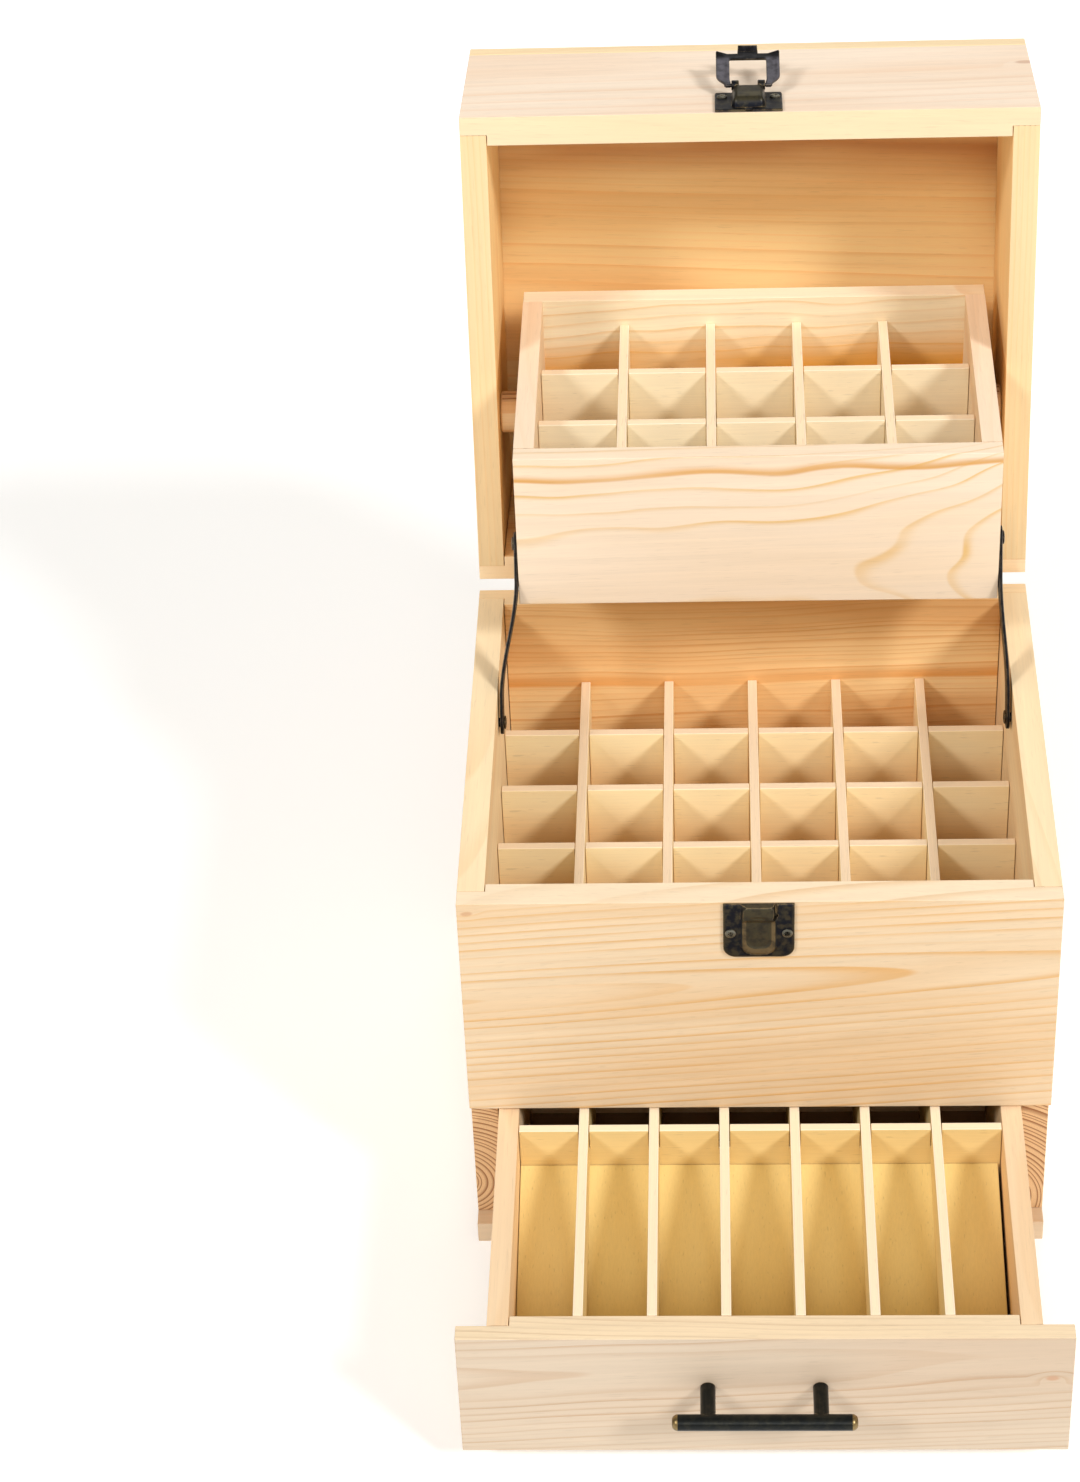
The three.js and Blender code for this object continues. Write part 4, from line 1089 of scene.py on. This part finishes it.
# The drawer's flat floor is painted dark: painted shade for the closed-in back of the drawer, under the
# base's front panel.
painted_shade_ply = plywood("painted_shade_ply", colour(150, 116, 80), colour(128, 92, 60))
drawer_divider_ply = plywood("drawer_divider_ply", colour(236, 210, 150), colour(228, 194, 126))
strip("drawer_floor", "drawer", painted_shade_ply, ALONG_X, ALONG_Z, seed=54)
strip("drawer_sloping_floor", "drawer", drawer_ply, ALONG_Y, ALONG_Z, seed=55)
strip("drawer_divider_cross", "drawer", drawer_divider_ply, ALONG_X, ALONG_Y, seed=56)
dividers("drawer_divider_long", "drawer", drawer_divider_ply, 6, ALONG_Y, ALONG_X, seed=56)


# The handle is a turned steel bar brazed to two posts, plated dark bronze. Its plating is worn to
# brass round the bar's domed ends. Screws hold it from inside the drawer's front.

handle_bronze = bronze(
    "handle_bronze", (0.018, 0.020, 0.020), (0.038, 0.037, 0.028), (0.30, 0.21, 0.09), rough=0.34
)
BAR_HALF, BAR_RADIUS, BAR_SOFT = 36.0, 3.25, 2.0
POST_X, POST_RADIUS, POST_REACH = 22.0, 3.0, 18.0
grip_low, grip_high = box_mm("drawer_handle")
BAR_Y, BAR_Z = grip_low.y + BAR_RADIUS, (grip_low.z + grip_high.z) / 2
bar_end = [
    (0, 1.3), (0.7, 1.1), (1.0, 0.2), (1.4, 0.0), (2.0, 0.15), (2.5, 0.5), (2.9, 1.0), (3.15, 1.5),
    (BAR_RADIUS, BAR_SOFT),
]
bar_ring_shares = (-0.94, -0.93, -0.5, 0, 0.5, 0.93, 0.94)
WORN_END_SHARE = 0.935
bar_profile = [(radius, depth - BAR_HALF) for radius, depth in bar_end]
bar_profile += [(BAR_RADIUS, share * BAR_HALF) for share in bar_ring_shares]
bar_profile += [(radius, BAR_HALF - depth) for radius, depth in reversed(bar_end)]
bar = turned(bar_profile, 56)
bar.transform(turn("Y", 90))
posts = []
for side in (-1, 1):
    post = turned([(0, 0), (POST_RADIUS, 0), (POST_RADIUS, POST_REACH), (0, POST_REACH)])
    post.transform(at(POST_X * side, POST_REACH, 0) @ OUT_FRONT)
    posts.append(post)
grip = welded(bar, *posts)
worn_end = grip.verts.layers.float.new("handled")
for vertex in grip.verts:
    vertex[worn_end] = 1.0 if abs(vertex.co.x) > WORN_END_SHARE * BAR_HALF * MM else 0.0
grip_place = at(0, BAR_Y, BAR_Z)
metal_piece("drawer_handle_metal", grip, grip_place, "drawer", "drawer_handle", finish=handle_bronze)


# The box stands on a plain pale floor in a warm white room. Wide soft lamps light it from the
# right and the left, a weaker one from beside the camera, and faint ones from above and behind.

def floor_paint():
    paint = Finish("floor_paint")
    place = paint.step("ShaderNodeTexCoord", {}, {}, "Object")
    mottle = paint.noise(place, (3, 3, 3), 3.0)
    return paint.coat({
        "Base Color": paint.mixed(mottle, (0.945, 0.955, 0.970, 1), (0.965, 0.975, 0.990, 1)),
        "Roughness": 0.8,
        "Emission Color": (0.93, 0.97, 1.0, 1),
        "Emission Strength": 0.24,
    })


FLOOR_REACH = 30.0
floor_mesh = bpy.data.meshes.new("studio_floor")
floor_corners = [(-1, -1), (1, -1), (1, 1), (-1, 1)]
floor_spots = [(FLOOR_REACH * x, FLOOR_REACH * y, 0) for x, y in floor_corners]
floor_mesh.from_pydata(floor_spots, [], [(0, 1, 2, 3)])
floor_mesh.materials.append(floor_paint())
studio_floor = bpy.data.objects.new("studio_floor", floor_mesh)
bpy.context.scene.collection.objects.link(studio_floor)


def soft_lamp(name, azimuth, elevation, spread, strength):
    """A far, wide lamp. Its azimuth is 0 in front of the box and 90 at its right, in degrees."""
    light = bpy.data.lights.new(name, "SUN")
    light.angle = math.radians(spread)
    light.energy = strength
    lamp = bpy.data.objects.new(name, light)
    round_box, rise = math.radians(azimuth), math.radians(elevation)
    flat = math.cos(rise)
    way = Vector((math.sin(round_box) * flat, -math.cos(round_box) * flat, math.sin(rise)))
    lamp.rotation_euler = way.to_track_quat("Z", "Y").to_euler()
    bpy.context.scene.collection.objects.link(lamp)


for name, azimuth, elevation, spread, strength in (
    ("right_lamp", 50, 40, 12, 1.75), ("left_lamp", -50, 40, 12, 1.2), ("top_lamp", 0, 85, 60, 0.1),
    ("camera_lamp", 0, 36, 24, 0.5), ("back_lamp", 170, 40, 40, 0.5),
):
    soft_lamp(name, azimuth, elevation, spread, strength)
room = bpy.data.worlds.new("white_room")
room.use_nodes = True
room_light = room.node_tree.nodes["Background"]
room_light.inputs["Color"].default_value = (1.0, 0.89, 0.72, 1)
room_light.inputs["Strength"].default_value = 0.28
bpy.context.scene.world = room
bpy.context.scene.view_settings.view_transform = "Standard"


# The camera looks down at the open box from in front, as the photograph does. Its place and its
# three turns, in radians, were worked out from where the box's corners lie in the photograph.

IMAGE_HEIGHT = 1482
FOCAL_PIXELS = 3682.83
EYE = Vector((-0.01479, -1.21444, 1.13711))
DOWN, RIGHT, ROLL = 0.66249, -0.06179, 0.04851
camera = bpy.data.cameras.new("camera")
camera.sensor_fit = "AUTO"
camera.sensor_width = 36
camera.lens = camera.sensor_width * FOCAL_PIXELS / IMAGE_HEIGHT
viewer = bpy.data.objects.new("camera", camera)
aim = Matrix.Rotation(-RIGHT, 4, "Z") @ Matrix.Rotation(math.pi / 2 - DOWN, 4, "X")
viewer.matrix_world = Matrix.Translation(EYE) @ aim @ Matrix.Rotation(-ROLL, 4, "Z")
bpy.context.scene.collection.objects.link(viewer)
bpy.context.scene.camera = viewer
